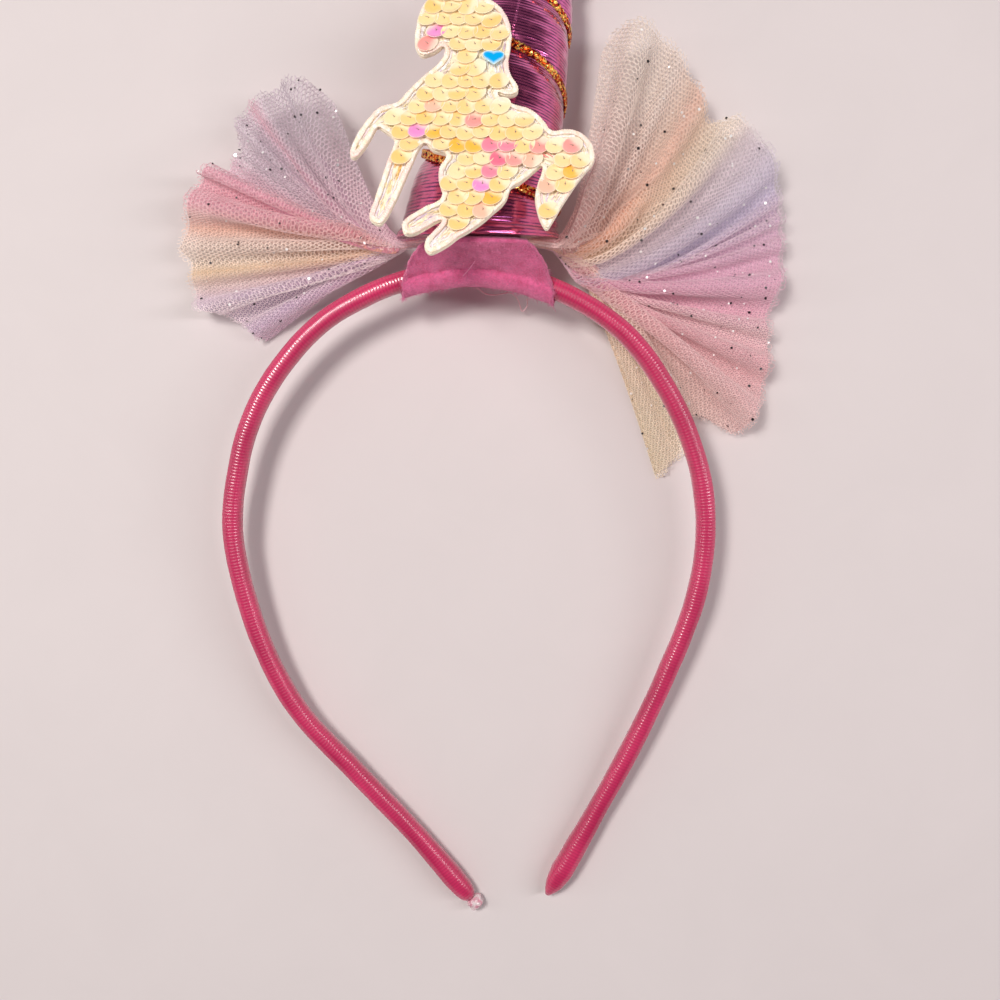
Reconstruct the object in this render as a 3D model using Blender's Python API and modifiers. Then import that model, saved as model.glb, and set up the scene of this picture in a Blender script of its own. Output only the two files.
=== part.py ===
"""A child's unicorn horn headband, lying on its back with the sequin figure up.

Metres. +X runs across the arch, +Y from the band's tips over its crown and along the
horn, +Z up from the surface that the object lies on. The stuffed horn lies on its own
side, pressed flat there, and both tips of the band touch the same surface. Places are
worked out from the middle between the tips, and at the end an empty moves the origin
to below the middle of the whole object.
"""

import math
from typing import NamedTuple

import bmesh
import bpy
from mathutils import Matrix, Vector

NAME = "unicorn_horn_headband"
CLEARANCE = 0.0003  # between pieces that lie on each other

# The satin-wrapped band, an open arch
BAND_HALF_SPAN = 0.0552  # from the middle to the centre line at the widest
BAND_RISE = 0.147  # from the tips up to the crown's centre line
BAND_THICKNESS = 0.0047  # across the arch, in its own plane
BAND_DEPTH = 0.0058  # the way the band is seen from the side
BAND_CROWN_LIFT = 0.0138  # the crown's underside above the surface
BAND_END_LENGTH = 0.022  # the stretch at each tip that changes its section
BAND_STEP = 0.0065  # between two sections
BAND_LEAST_STEP = 0.0010  # between two sections near the tips
ROUTE_STEPS = 8  # between two points of the band's table
BAND_SIDES = 12

# The stuffed horn, a cone that lies on its side
HORN_LENGTH = 0.130
HORN_BASE_RADIUS = 0.0179
HORN_TIP_RADIUS = 0.0033
HORN_STANDOFF = 0.0069  # from the crown's centre line to the middle of the horn's base
HORN_ASIDE = 0.0020  # the base's middle, right of the arch's middle
HORN_LEAN_DEG = 10.5  # to the right, seen from above
HORN_PRESSED = 0.0008  # how far its side is pressed flat where it lies
BASE_SLANT = 0.0050  # how far the base's upper rim is drawn towards the band
BASE_SLANT_REACH = 0.026  # along the horn
HORN_RINGS = 47
HORN_SIDES = 24
TIP_ROUND = 0.0040  # the length of the rounded tip
TIP_FLAT = 0.14  # the little flat left at its end, as a share of the radius there

# The flat glitter cord, wound round the horn
CORD_WIDTH = 0.0022
CORD_THICKNESS = 0.0007
CORD_PINCH = 0.0011  # how deep the cord draws the horn in
CORD_PINCH_REACH = 0.0028  # how wide the drawn-in furrow is
CORD_FACET_ROOM = 0.0004  # room for the horn's flat facets under the cord
CORD_STEPS_PER_TURN = 20
CORD_EASE = 0.08  # turns over which the pitch changes

# The felt oval, folded over the crown
FELT_THICKNESS = 0.0012
FELT_HALF_WIDTH = 0.0172  # at the fold
FELT_END_SHARE = 0.62  # the width at the felt's two ends, as a share of that at the fold
FELT_COLUMNS = 10
FELT_FOLD_STEPS = 6  # round the band
FELT_INSIDE_RIM = 0.0016  # from the horn's rim in to the middle of the felt's ends

# The sequin unicorn, a flat patch that lies along the top of the horn
UNICORN_WIDTH = 0.052
UNICORN_LEFT = 0.0272  # from the horn's base middle to the patch's left end
UNICORN_BELOW = 0.0104  # how far its hind foot reaches past the horn's base
PATCH_THICKNESS = 0.0011
BORDER_RADIUS = 0.00055
BORDER_SHARPEST = 0.6  # keeps the border's corners short, as a share
SEQUINS_ACROSS = 15  # columns of sequins that the figure's width takes
SEQUIN_PITCH = UNICORN_WIDTH / SEQUINS_ACROSS
SEQUIN_START = (0.125, -0.75)  # the first one, across and up, in columns and rows
SEQUIN_HEIGHT = 0.0003
SEQUIN_CLOTH = 0.0003
SEQUIN_RIM = 0.00035  # how far a sequin's slanting rim reaches inwards
HEART_WIDTH = 0.0044
HEART_HEIGHT = 0.0036
HEART_THICKNESS = 0.0004
HEART_POINTS = 20

# The two tulle fans
TULLE_THICKNESS = 0.0012
FAN_REACH = 0.056  # from the gather to the rim
FAN_RIM_LIFT = 0.016  # a share of this is the rim's height above the surface
NECK_LENGTH = 0.007  # the gathered stretch between the band and the horn
NECK_COMES_AWAY = 0.0008  # from the horn's face, over the neck's length
NECK_TOP = 0.0215  # the highest pleat in the neck, above the surface
NECK_BOTTOM = 0.0122
FAN_BEND = 0.15  # how far the pleats leave straight on before they spread, as a share
FAN_FALL = 2.2  # how quickly they come down from the neck, as a power
PLEAT_DEPTH = 0.0021  # at the rim
PLEAT_GROWTH = 1.3  # how the pleats deepen towards the rim, as a power
FAN_NECK_SHARE = 0.125  # of the rings from the neck's inner end to the rim
FAN_RINGS = 8
LEFT_EXIT = -0.0142  # where the fans leave the neck, across from the arch's middle
RIGHT_EXIT = 0.0186
LEFT_PLEATS = 12
RIGHT_PLEATS = 16
ROWS_PER_PLEAT = 3

# A dab of dried glue on the left tip
GLUE_LENGTH = 0.0030
GLUE_WIDTH = 0.0040
GLUE_SIDES = 10
GLUE_RINGS = 6


class RoutePoint(NamedTuple):
    """A point of the band's centre line."""

    across: float  # share of BAND_HALF_SPAN, right of the middle above zero
    along: float  # share of BAND_RISE, from the tips to the crown


class EndRow(NamedTuple):
    """The size of the band's section near its two tips."""

    away: float  # share of BAND_END_LENGTH from the tip
    left: float  # share of the full section, on the blunt left end
    right: float  # the same on the leaf-shaped right end


class TurnRow(NamedTuple):
    """How far up the horn the cord has come."""

    turn: float  # turns round the horn, from the right-hand side, over the top to the left
    along: float  # share of HORN_LENGTH from the base


class FanRow(NamedTuple):
    """One stretch of a fan's rim."""

    bearing: float  # degrees, from +X anticlockwise, seen from above
    reach: float  # share of FAN_REACH
    lift: float  # share of FAN_RIM_LIFT


BAND_ROUTE = (
    RoutePoint(0.00, 0.000),
    RoutePoint(-0.24, 0.107),
    RoutePoint(-0.50, 0.212),
    RoutePoint(-0.74, 0.313),
    RoutePoint(-0.89, 0.426),
    RoutePoint(-0.98, 0.549),
    RoutePoint(-0.99, 0.640),
    RoutePoint(-0.92, 0.758),
    RoutePoint(-0.78, 0.852),
    RoutePoint(-0.57, 0.930),
    RoutePoint(-0.27, 0.983),
    RoutePoint(0.04, 1.000),
    RoutePoint(0.34, 0.973),
    RoutePoint(0.63, 0.908),
    RoutePoint(0.83, 0.810),
    RoutePoint(0.95, 0.705),
    RoutePoint(0.99, 0.600),
    RoutePoint(0.95, 0.486),
    RoutePoint(0.83, 0.365),
    RoutePoint(0.68, 0.243),
    RoutePoint(0.45, 0.082),
    RoutePoint(0.33, 0.004),
)

BAND_ENDS = (
    EndRow(0.00, 0.55, 0.22),
    EndRow(0.05, 0.86, 0.52),
    EndRow(0.14, 1.02, 0.88),
    EndRow(0.30, 1.10, 1.14),
    EndRow(0.60, 1.06, 1.12),
    EndRow(1.00, 1.00, 1.00),
)

CORD_TURNS = (
    TurnRow(-0.35, 0.050),
    TurnRow(0.00, 0.063),
    TurnRow(0.16, 0.070),
    TurnRow(0.50, 0.140),
    TurnRow(1.00, 0.266),
    TurnRow(1.25, 0.317),
    TurnRow(1.60, 0.350),
    TurnRow(2.00, 0.385),
    TurnRow(2.25, 0.435),
    TurnRow(3.00, 0.500),
    TurnRow(3.25, 0.540),
    TurnRow(4.00, 0.597),
    TurnRow(5.00, 0.682),
    TurnRow(6.00, 0.758),
    TurnRow(7.00, 0.825),
    TurnRow(8.00, 0.884),
    TurnRow(8.80, 0.925),
)

# Across and up from the patch's lower left corner, both as shares of UNICORN_WIDTH
UNICORN_OUTLINE = {
    "muzzle": ((0.324, 1.165), (0.282, 1.107), (0.263, 1.030), (0.255, 0.941), (0.281, 0.885)),
    "chin": ((0.319, 0.890), (0.352, 0.909), (0.377, 0.932), (0.380, 0.890)),
    "throat": ((0.353, 0.843), (0.311, 0.801), (0.270, 0.760), (0.229, 0.714), (0.189, 0.663)),
    "raised foreleg": ((0.131, 0.645), (0.099, 0.622), (0.070, 0.585), (0.039, 0.535)),
    "raised hoof": ((0.015, 0.486), (0.000, 0.441), (0.004, 0.414), (0.022, 0.411), (0.037, 0.425)),
    "raised foreleg, inside": ((0.061, 0.459), (0.089, 0.513), (0.108, 0.552), (0.129, 0.540)),
    "standing foreleg": ((0.175, 0.504), (0.180, 0.477), (0.153, 0.400), (0.122, 0.289)),
    "front hoof": ((0.096, 0.201), (0.085, 0.148), (0.134, 0.122)),
    "standing foreleg, inside": ((0.189, 0.223), (0.239, 0.351), (0.295, 0.481)),
    "belly": ((0.340, 0.450), (0.398, 0.432)),
    "hind leg": ((0.378, 0.400), (0.362, 0.364), (0.362, 0.324), (0.371, 0.289), (0.379, 0.253)),
    "upper hind foot": ((0.359, 0.223), (0.319, 0.205), (0.279, 0.179), (0.239, 0.152)),
    "upper hind hoof": ((0.217, 0.126), (0.224, 0.087), (0.248, 0.078), (0.280, 0.087)),
    "between the hind feet": ((0.320, 0.113), (0.360, 0.139), (0.386, 0.146), (0.349, 0.100)),
    "lower hind hoof": ((0.317, 0.062), (0.307, 0.032), (0.319, 0.006), (0.342, 0.000)),
    "lower hind foot": ((0.402, 0.035), (0.442, 0.069), (0.490, 0.100), (0.542, 0.139)),
    "haunch": ((0.583, 0.179), (0.615, 0.209), (0.640, 0.245), (0.656, 0.293)),
    "under the tail": ((0.685, 0.307), (0.726, 0.342), (0.759, 0.373), (0.787, 0.396)),
    "tail, inside": ((0.779, 0.351), (0.762, 0.298), (0.754, 0.253), (0.761, 0.201)),
    "tail tip": ((0.777, 0.148), (0.801, 0.113), (0.826, 0.148)),
    "tail, outside": ((0.859, 0.209), (0.896, 0.271), (0.930, 0.324), (0.963, 0.369)),
    "tail bend": ((0.992, 0.405), (1.000, 0.435), (0.995, 0.470), (0.982, 0.504), (0.953, 0.535)),
    "tail root": ((0.915, 0.554), (0.870, 0.554), (0.826, 0.544)),
    "rump": ((0.809, 0.563), (0.789, 0.594), (0.760, 0.626), (0.727, 0.649)),
    "back": ((0.686, 0.658), (0.645, 0.677), (0.607, 0.700), (0.595, 0.727)),
    "mane curl": ((0.624, 0.709), (0.665, 0.709), (0.686, 0.727), (0.684, 0.752)),
    "mane": ((0.664, 0.784), (0.649, 0.820), (0.646, 0.870), (0.655, 0.925), (0.659, 0.990)),
    "crest": ((0.650, 1.045), (0.624, 1.102), (0.590, 1.136), (0.548, 1.164)),
    "ear": ((0.510, 1.221), (0.467, 1.260), (0.440, 1.327), (0.412, 1.263)),
    "small horn": ((0.381, 1.260), (0.296, 1.375), (0.335, 1.233)),
}
HEART_PLACE = (0.572, 0.885)

LEFT_FAN = (
    FanRow(117.0, 0.69, 0.95),
    FanRow(118.6, 0.765, 0.92),
    FanRow(120.8, 0.825, 0.88),
    FanRow(125.4, 0.88, 0.75),
    FanRow(132.8, 0.90, 0.60),
    FanRow(139.0, 0.93, 0.55),
    FanRow(143.9, 0.89, 0.50),
    FanRow(147.8, 0.84, 0.52),
    FanRow(153.4, 0.85, 0.62),
    FanRow(157.5, 0.915, 0.78),
    FanRow(164.0, 0.945, 0.72),
    FanRow(168.7, 0.945, 0.60),
    FanRow(174.2, 0.955, 0.55),
    FanRow(179.0, 0.975, 0.50),
    FanRow(181.9, 0.935, 0.45),
    FanRow(188.5, 0.935, 0.40),
    FanRow(195.0, 0.925, 0.35),
    FanRow(197.5, 0.835, 0.32),
    FanRow(203.1, 0.77, 0.30),
    FanRow(208.0, 0.75, 0.28),
    FanRow(211.0, 0.72, 0.26),
)

RIGHT_FAN = (
    FanRow(75.0, 0.85, 0.95),
    FanRow(73.5, 0.955, 0.92),
    FanRow(70.1, 1.025, 0.88),
    FanRow(65.8, 1.02, 0.78),
    FanRow(59.4, 1.025, 0.70),
    FanRow(53.5, 0.99, 0.65),
    FanRow(46.2, 0.92, 0.60),
    FanRow(39.7, 0.87, 0.55),
    FanRow(36.8, 0.93, 0.55),
    FanRow(33.2, 0.975, 0.62),
    FanRow(28.4, 1.00, 0.65),
    FanRow(22.2, 1.015, 0.60),
    FanRow(14.5, 1.005, 0.55),
    FanRow(3.0, 0.99, 0.50),
    FanRow(-10.7, 0.977, 0.45),
    FanRow(-18.0, 0.96, 0.42),
    FanRow(-24.0, 1.01, 0.40),
    FanRow(-32.0, 1.06, 0.36),
    FanRow(-40.0, 1.12, 0.34),
    FanRow(-43.0, 1.10, 0.32),
    FanRow(-46.5, 0.92, 0.28),
    FanRow(-50.0, 0.90, 0.26),
    FanRow(-54.0, 1.01, 0.24),
    FanRow(-60.0, 1.04, 0.22),
    FanRow(-64.5, 1.05, 0.20),
)


def material(name, colour, roughness, metallic=0.0):
    """A plain Principled material."""
    made = bpy.data.materials.new(name)
    made.use_nodes = True
    shader = made.node_tree.nodes["Principled BSDF"]
    shader.inputs["Base Color"].default_value = (*colour, 1.0)
    shader.inputs["Roughness"].default_value = roughness
    shader.inputs["Metallic"].default_value = metallic
    made.diffuse_color = (*colour, 1.0)
    return made


def add_object(name, data, finish, collection):
    """An object for a mesh or a curve, with its own material."""
    made = bpy.data.objects.new(name, data)
    data.materials.append(finish)
    collection.objects.link(made)
    return made


def smooth_through(points, per_span):
    """Points on a Catmull-Rom curve through the given ones."""
    ends = [2 * points[0] - points[1], *points, 2 * points[-1] - points[-2]]
    line = []
    for a, b, c, d in zip(ends, ends[1:], ends[2:], ends[3:]):
        for step in range(per_span):
            t = step / per_span
            pull = (c - a) * t
            bend = (2 * a - 5 * b + 4 * c - d) * t**2
            turn = (3 * b - a - 3 * c + d) * t**3
            line.append(b + (pull + bend + turn) / 2)
    return [*line, points[-1].copy()]


def evenly(line, step):
    """The same line with its points about a step apart."""
    length = sum((b - a).length for a, b in zip(line, line[1:]))
    count = max(2, round(length / step))
    even, passed, index = [line[0].copy()], 0.0, 0
    for k in range(1, count):
        wanted = length * k / count
        while passed + (line[index + 1] - line[index]).length < wanted:
            passed += (line[index + 1] - line[index]).length
            index += 1
        gap = (line[index + 1] - line[index]).length
        even.append(line[index].lerp(line[index + 1], (wanted - passed) / gap))
    return [*even, line[-1].copy()]


def between(rows, at, column):
    """A column's value at a place in the first column, straight between the rows."""
    for low, high in zip(rows, rows[1:]):
        if at <= high[0] or high is rows[-1]:
            share = (at - low[0]) / (high[0] - low[0])
            return low[column] + (high[column] - low[column]) * min(max(share, 0.0), 1.0)
    return rows[0][column]


def cylinder_between_rings(rings, name):
    """A closed mesh lofted through rings of equally many points, with flat ends."""
    mesh = bpy.data.meshes.new(name)
    shell = bmesh.new()
    rows = [[shell.verts.new(point) for point in ring] for ring in rings]
    for low, high in zip(rows, rows[1:]):
        for k, corner in enumerate(low):
            beside = (k + 1) % len(low)
            shell.faces.new((corner, low[beside], high[beside], high[k]))
    shell.faces.new(rows[0][::-1])
    shell.faces.new(rows[-1])
    bmesh.ops.recalc_face_normals(shell, faces=shell.faces)
    shell.to_mesh(mesh)
    shell.free()
    mesh.shade_smooth()
    return mesh


def sheet_mesh(name, rows, columns, place):
    """An open sheet of rows by columns of faces, each corner put where place says."""
    mesh = bpy.data.meshes.new(name)
    sheet = bmesh.new()
    bmesh.ops.create_grid(sheet, x_segments=columns, y_segments=rows, size=0.5)
    for corner in sheet.verts:
        corner.co = place(corner.co.y + 0.5, corner.co.x + 0.5)
    sheet.to_mesh(mesh)
    sheet.free()
    mesh.shade_smooth()
    return mesh


def solidify(made, thickness):
    """Gives a sheet its wall, half to each side."""
    wall = made.modifiers.new("wall", "SOLIDIFY")
    wall.thickness = thickness
    wall.offset = 0.0


def band_route():
    """The band's centre line, seen from above, from the left tip to the right tip."""
    flat = [Vector((p.across * BAND_HALF_SPAN, p.along * BAND_RISE, 0.0)) for p in BAND_ROUTE]
    return evenly(smooth_through(flat, ROUTE_STEPS), BAND_STEP)


def band_scales(line):
    """The share of the full section at each point of the band's line."""
    steps = [(b - a).length for a, b in zip(line, line[1:])]
    total, passed, scales = sum(steps), 0.0, []
    for step in [*steps, 0.0]:
        left = between(BAND_ENDS, passed / BAND_END_LENGTH, 1)
        right = between(BAND_ENDS, (total - passed) / BAND_END_LENGTH, 2)
        scales.append(left if passed < total / 2 else right)
        passed += step
    return scales


def with_end_sections(line):
    """The line with extra points near both tips, where the section changes quickly."""
    dense = []
    for end in (line, line[::-1]):
        first, direction = end[0], (end[1] - end[0]).normalized()
        room = (end[1] - first).length - BAND_LEAST_STEP
        ways = [row.away * BAND_END_LENGTH for row in BAND_ENDS]
        dense.append([first + direction * way for way in ways if way < room])
    return [*dense[0], *line[1:-1], *dense[1][::-1]]


def band_line():
    """The band's centre line at its height, with the share of the section at each point.

    The underside rises evenly from the tips to the crown, and the thickest stretch near
    the tips touches the surface.
    """
    line = with_end_sections(band_route())
    scales = band_scales(line)
    for point in line:
        point.z = BAND_CROWN_LIFT * point.y / BAND_RISE + BAND_DEPTH / 2
    lowest = min(p.z - BAND_DEPTH / 2 * scale for p, scale in zip(line, scales))
    for point in line:
        point.z -= lowest
    return line, scales


def crown_point(x):
    """The centre of the band where it passes a place across, near the crown."""
    line = [p for p in band_line()[0] if p.y > BAND_RISE / 2]
    for a, b in zip(line, line[1:]):
        if a.x <= x <= b.x:
            return a.lerp(b, (x - a.x) / (b.x - a.x))
    raise ValueError("outside the crown")


def make_band(collection, guides):
    """The band, a curve that carries an oval section."""
    section = bpy.data.curves.new("band_section", "CURVE")
    section.dimensions = "2D"
    oval = section.splines.new("POLY")
    oval.points.add(BAND_SIDES - 1)
    oval.use_cyclic_u = True
    for k, point in enumerate(oval.points):
        turn = -2 * math.pi * k / BAND_SIDES
        across = BAND_THICKNESS / 2 * math.cos(turn)
        point.co = (across, BAND_DEPTH / 2 * math.sin(turn), 0.0, 1.0)
    guide = bpy.data.objects.new("band_section", section)
    guide.hide_render = True
    guide.display_type = "WIRE"
    guides.objects.link(guide)

    line, scales = band_line()
    curve = bpy.data.curves.new("headband", "CURVE")
    curve.dimensions = "3D"
    curve.twist_mode = "Z_UP"
    curve.bevel_mode = "OBJECT"
    curve.bevel_object = guide
    curve.use_fill_caps = True
    path = curve.splines.new("POLY")
    path.points.add(len(line) - 1)
    for point, place, scale in zip(path.points, line, scales):
        point.co = (*place, 1.0)
        point.radius = scale
    satin = material("satin_ribbon", (0.55, 0.03, 0.11), 0.35)
    return add_object("headband", curve, satin, collection)


def horn_axes():
    """The horn's own directions: along it, to its right and to its top."""
    droop = math.asin((HORN_BASE_RADIUS - HORN_TIP_RADIUS) / HORN_LENGTH)
    lean = math.radians(HORN_LEAN_DEG)
    level = Vector((math.sin(lean), math.cos(lean), 0.0))
    along = level * math.cos(droop) - Vector((0.0, 0.0, math.sin(droop)))
    right = Vector((math.cos(lean), -math.sin(lean), 0.0))
    return along, right, right.cross(along)


def horn_base():
    """The middle of the horn's base."""
    height = HORN_BASE_RADIUS * horn_axes()[2].z - HORN_PRESSED
    return Vector((HORN_ASIDE, BAND_RISE + HORN_STANDOFF, height))


def horn_radius(along):
    """The cone's radius at a distance along the horn, rounded off at the tip."""
    share = along / HORN_LENGTH
    radius = HORN_BASE_RADIUS + (HORN_TIP_RADIUS - HORN_BASE_RADIUS) * share
    left = (HORN_LENGTH - along) / TIP_ROUND
    return radius * math.sqrt(max(1 - (1 - left) ** 2, TIP_FLAT**2)) if left < 1 else radius


def horn_point(angle, along, radius):
    """A point by its angle from the horn's top, its distance along and from the axis.

    The base is cut square to the arch, not to the leaning horn, and its upper rim is
    drawn towards the band.
    """
    ahead, right, top = horn_axes()
    fading = max(1 - along / BASE_SLANT_REACH, 0.0) * radius
    drawn = along - fading * math.cos(angle) * BASE_SLANT / HORN_BASE_RADIUS
    drawn += fading * math.sin(angle) * math.tan(math.radians(HORN_LEAN_DEG))
    ring = right * math.sin(angle) + top * math.cos(angle)
    return horn_base() + ahead * drawn + ring * radius


def cord_along(turn):
    """How far up the horn the cord is after so many turns."""
    spread = (-CORD_EASE, 0.0, CORD_EASE)
    return HORN_LENGTH * sum(between(CORD_TURNS, turn + e, 1) for e in spread) / len(spread)


def cord_furrow(angle, along):
    """How strongly the cord draws the horn in at a point, from 0 to 1."""
    first, last = CORD_TURNS[0].turn - CORD_EASE, CORD_TURNS[-1].turn + CORD_EASE
    phase = (0.25 - angle / (2 * math.pi)) % 1.0
    nearest = math.inf
    turn = phase + math.floor(first)
    while turn <= last:
        if turn >= first:
            nearest = min(nearest, abs(along - cord_along(turn)))
        turn += 1.0
    return math.exp(-((nearest / CORD_PINCH_REACH) ** 2))


def make_horn(collection):
    """The stuffed cone, drawn in under the cord and pressed flat where it lies."""
    under_cord = CORD_THICKNESS + 4 * CLEARANCE + CORD_FACET_ROOM
    rings = []
    for k in range(HORN_RINGS + 1):
        along = HORN_LENGTH * k / HORN_RINGS
        ring = []
        for side in range(HORN_SIDES):
            angle = 2 * math.pi * (side + 0.5) / HORN_SIDES
            furrow = cord_furrow(angle, along)
            point = horn_point(angle, along, horn_radius(along) - CORD_PINCH * furrow)
            point.z = max(point.z, under_cord * furrow)
            ring.append(point)
        rings.append(ring)
    lame = material("horn_lame", (0.52, 0.10, 0.30), 0.3, 0.6)
    return add_object("horn", cylinder_between_rings(rings, "horn"), lame, collection)


def make_cord(collection):
    """The cord, a flat ribbon section carried round the horn."""
    ahead, _, _ = horn_axes()
    first, last = CORD_TURNS[0].turn, CORD_TURNS[-1].turn
    count = round((last - first) * CORD_STEPS_PER_TURN)
    rings = []
    for k in range(count + 1):
        turn = first + (last - first) * k / count
        angle = 2 * math.pi * (0.25 - turn)
        along = cord_along(turn)
        inner = horn_radius(along) - CORD_PINCH + CLEARANCE + CORD_FACET_ROOM
        ring = []
        for side, raised in ((-1, 0), (1, 0), (1, 1), (-1, 1)):
            radius = inner + CORD_THICKNESS * raised
            point = horn_point(angle, along, radius) + ahead * side * CORD_WIDTH / 2
            lowest = CLEARANCE / 2 + CORD_THICKNESS * (1 - raised)
            point.z = max(point.z, lowest)
            ring.append(point)
        rings.append(ring)
    glitter = material("glitter_cord", (0.62, 0.20, 0.04), 0.3, 0.8)
    mesh = cylinder_between_rings(rings, "horn_cord")
    return add_object("horn_cord", mesh, glitter, collection)


def felt_section(x):
    """The felt's line at a place across: horn's upper rim, round the band, lower rim."""
    base = horn_base()
    centre = crown_point(x)
    across = BAND_THICKNESS / 2 + CLEARANCE + FELT_THICKNESS / 2
    deep = BAND_DEPTH / 2 + CLEARANCE + FELT_THICKNESS / 2
    rim = HORN_BASE_RADIUS - FELT_INSIDE_RIM
    aside = min(abs(x - base.x), FELT_HALF_WIDTH * FELT_END_SHARE)
    reach = math.sqrt(rim**2 - aside**2)
    ends = []
    for side in (1, -1):
        height = base.z + side * reach
        face = horn_face(x, height) - CLEARANCE - FELT_THICKNESS / 2
        ends.append(Vector((x, face, height)))
    fold = []
    for step in range(FELT_FOLD_STEPS + 1):
        turn = math.pi * step / FELT_FOLD_STEPS
        fold.append(centre + Vector((0.0, -across * math.sin(turn), deep * math.cos(turn))))
    lower = ends[1]
    lower.z = max(lower.z, FELT_THICKNESS)
    return [ends[0], ends[0].lerp(fold[0], 0.5), *fold, fold[-1].lerp(lower, 0.5), lower]


def horn_face(x, z):
    """How far along Y the horn's flat base face is at a place across and a height."""
    corners = [horn_point(a, 0.0, HORN_BASE_RADIUS) for a in (0.0, math.pi / 2, math.pi)]
    normal = (corners[1] - corners[0]).cross(corners[2] - corners[0])
    away = normal.x * (x - corners[0].x) + normal.z * (z - corners[0].z)
    return corners[0].y - away / normal.y


def make_felt(collection):
    """The felt oval, folded over the crown with its ends against the horn's base."""
    middle = horn_base().x
    lines = len(felt_section(middle)) - 1

    def place(down, across):
        along_fold = 2 * down - 1
        width = FELT_HALF_WIDTH * math.sqrt(1 - (1 - FELT_END_SHARE**2) * along_fold**2)
        x = middle + (2 * across - 1) * width
        section = felt_section(x)
        return section[round(down * lines)]

    felt = material("pink_felt", (0.50, 0.11, 0.21), 0.95)
    sheet = sheet_mesh("felt_base", lines, FELT_COLUMNS, place)
    made = add_object("felt_base", sheet, felt, collection)
    solidify(made, FELT_THICKNESS)
    return made


def unicorn_frame():
    """The matrix of the patch's plane, which touches the horn along its top."""
    proud = CORD_THICKNESS + CORD_FACET_ROOM + CLEARANCE - CORD_PINCH
    lift = max(proud, 0.0) + CLEARANCE
    _, right, _ = horn_axes()
    start = horn_base() + horn_axes()[2] * (HORN_BASE_RADIUS + lift)
    far = horn_base() + horn_axes()[0] * HORN_LENGTH
    far += horn_axes()[2] * (HORN_TIP_RADIUS + lift)
    up_line = (far - start).normalized()
    out = right.cross(up_line).normalized()
    across = (Vector((1.0, 0.0, 0.0)) - out * out.x).normalized()
    up = out.cross(across)
    corner = start - across * UNICORN_LEFT - up * UNICORN_BELOW
    frame = Matrix((across, up, out)).transposed().to_4x4()
    frame.translation = corner
    return frame


def unicorn_points():
    """The patch's outline in its own plane, clockwise round the figure's left side."""
    shares = [pair for part in UNICORN_OUTLINE.values() for pair in part]
    return [Vector((across * UNICORN_WIDTH, up * UNICORN_WIDTH)) for across, up in shares]


def inset(points, distance):
    """The outline moved inwards, with its sharp corners kept short."""
    moved = []
    for k, here in enumerate(points):
        before = (here - points[k - 1]).normalized()
        after = (points[(k + 1) % len(points)] - here).normalized()
        inward = Vector((-(before + after).y, (before + after).x)).normalized()
        slack = max(abs(inward.dot(Vector((-before.y, before.x)))), BORDER_SHARPEST)
        moved.append(here + inward * distance / slack)
    return moved


def flat_curve(name, outline, thickness):
    """A flat filled outline with a thickness, as a 2D curve."""
    curve = bpy.data.curves.new(name, "CURVE")
    curve.dimensions = "2D"
    curve.fill_mode = "BOTH"
    curve.extrude = thickness / 2
    edge = curve.splines.new("POLY")
    edge.points.add(len(outline) - 1)
    edge.use_cyclic_u = True
    for point, place in zip(edge.points, outline):
        point.co = (place.x, place.y, 0.0, 1.0)
    return curve


def lay_on_patch(made, height):
    """Lays a piece in the patch's plane, at a height over the horn."""
    frame = unicorn_frame()
    made.location = frame @ Vector((0.0, 0.0, height))
    made.rotation_euler = frame.to_euler()


def inside(point, outline):
    """Whether a point is inside an outline."""
    crossings = 0
    for a, b in zip(outline, [*outline[1:], outline[0]]):
        if (a.y > point.y) != (b.y > point.y):
            crossings += point.x < a.x + (b.x - a.x) * (point.y - a.y) / (b.y - a.y)
    return crossings % 2 == 1


def edge_distance(point, outline):
    """How far a point is from the nearest stretch of an outline."""
    nearest = math.inf
    for a, b in zip(outline, [*outline[1:], outline[0]]):
        side = b - a
        share = min(max((point - a).dot(side) / side.length_squared, 0.0), 1.0)
        nearest = min(nearest, (point - a - side * share).length)
    return nearest


def hexagon(middle):
    """The corners of a sequin's cell, which meets its neighbours side to side."""
    size = SEQUIN_PITCH / math.sqrt(3)
    turns = [math.radians(30 + 60 * k) for k in range(6)]
    return [middle + Vector((math.cos(turn), math.sin(turn))) * size for turn in turns]


def sequin_places(outline, heart):
    """The middles of the sequins, in staggered rows over the figure."""
    edge_room = 2 * BORDER_RADIUS + CLEARANCE
    heart_room = HEART_WIDTH / 2 + CLEARANCE
    row_step = SEQUIN_PITCH * math.sqrt(3) / 2
    rows = math.ceil(max(p.y for p in outline) / row_step)
    columns = math.ceil(UNICORN_WIDTH / SEQUIN_PITCH)
    places = []
    for row in range(rows):
        for column in range(columns + 1):
            x = (column + 0.5 * (row % 2) + SEQUIN_START[0]) * SEQUIN_PITCH
            place = Vector((x, (row + SEQUIN_START[1]) * row_step))
            corners = hexagon(place)
            on_figure = all(
                inside(c, outline) and edge_distance(c, outline) > edge_room for c in corners
            )
            if on_figure and all((c - heart).length > heart_room for c in corners):
                places.append(place)
    return places


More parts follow.
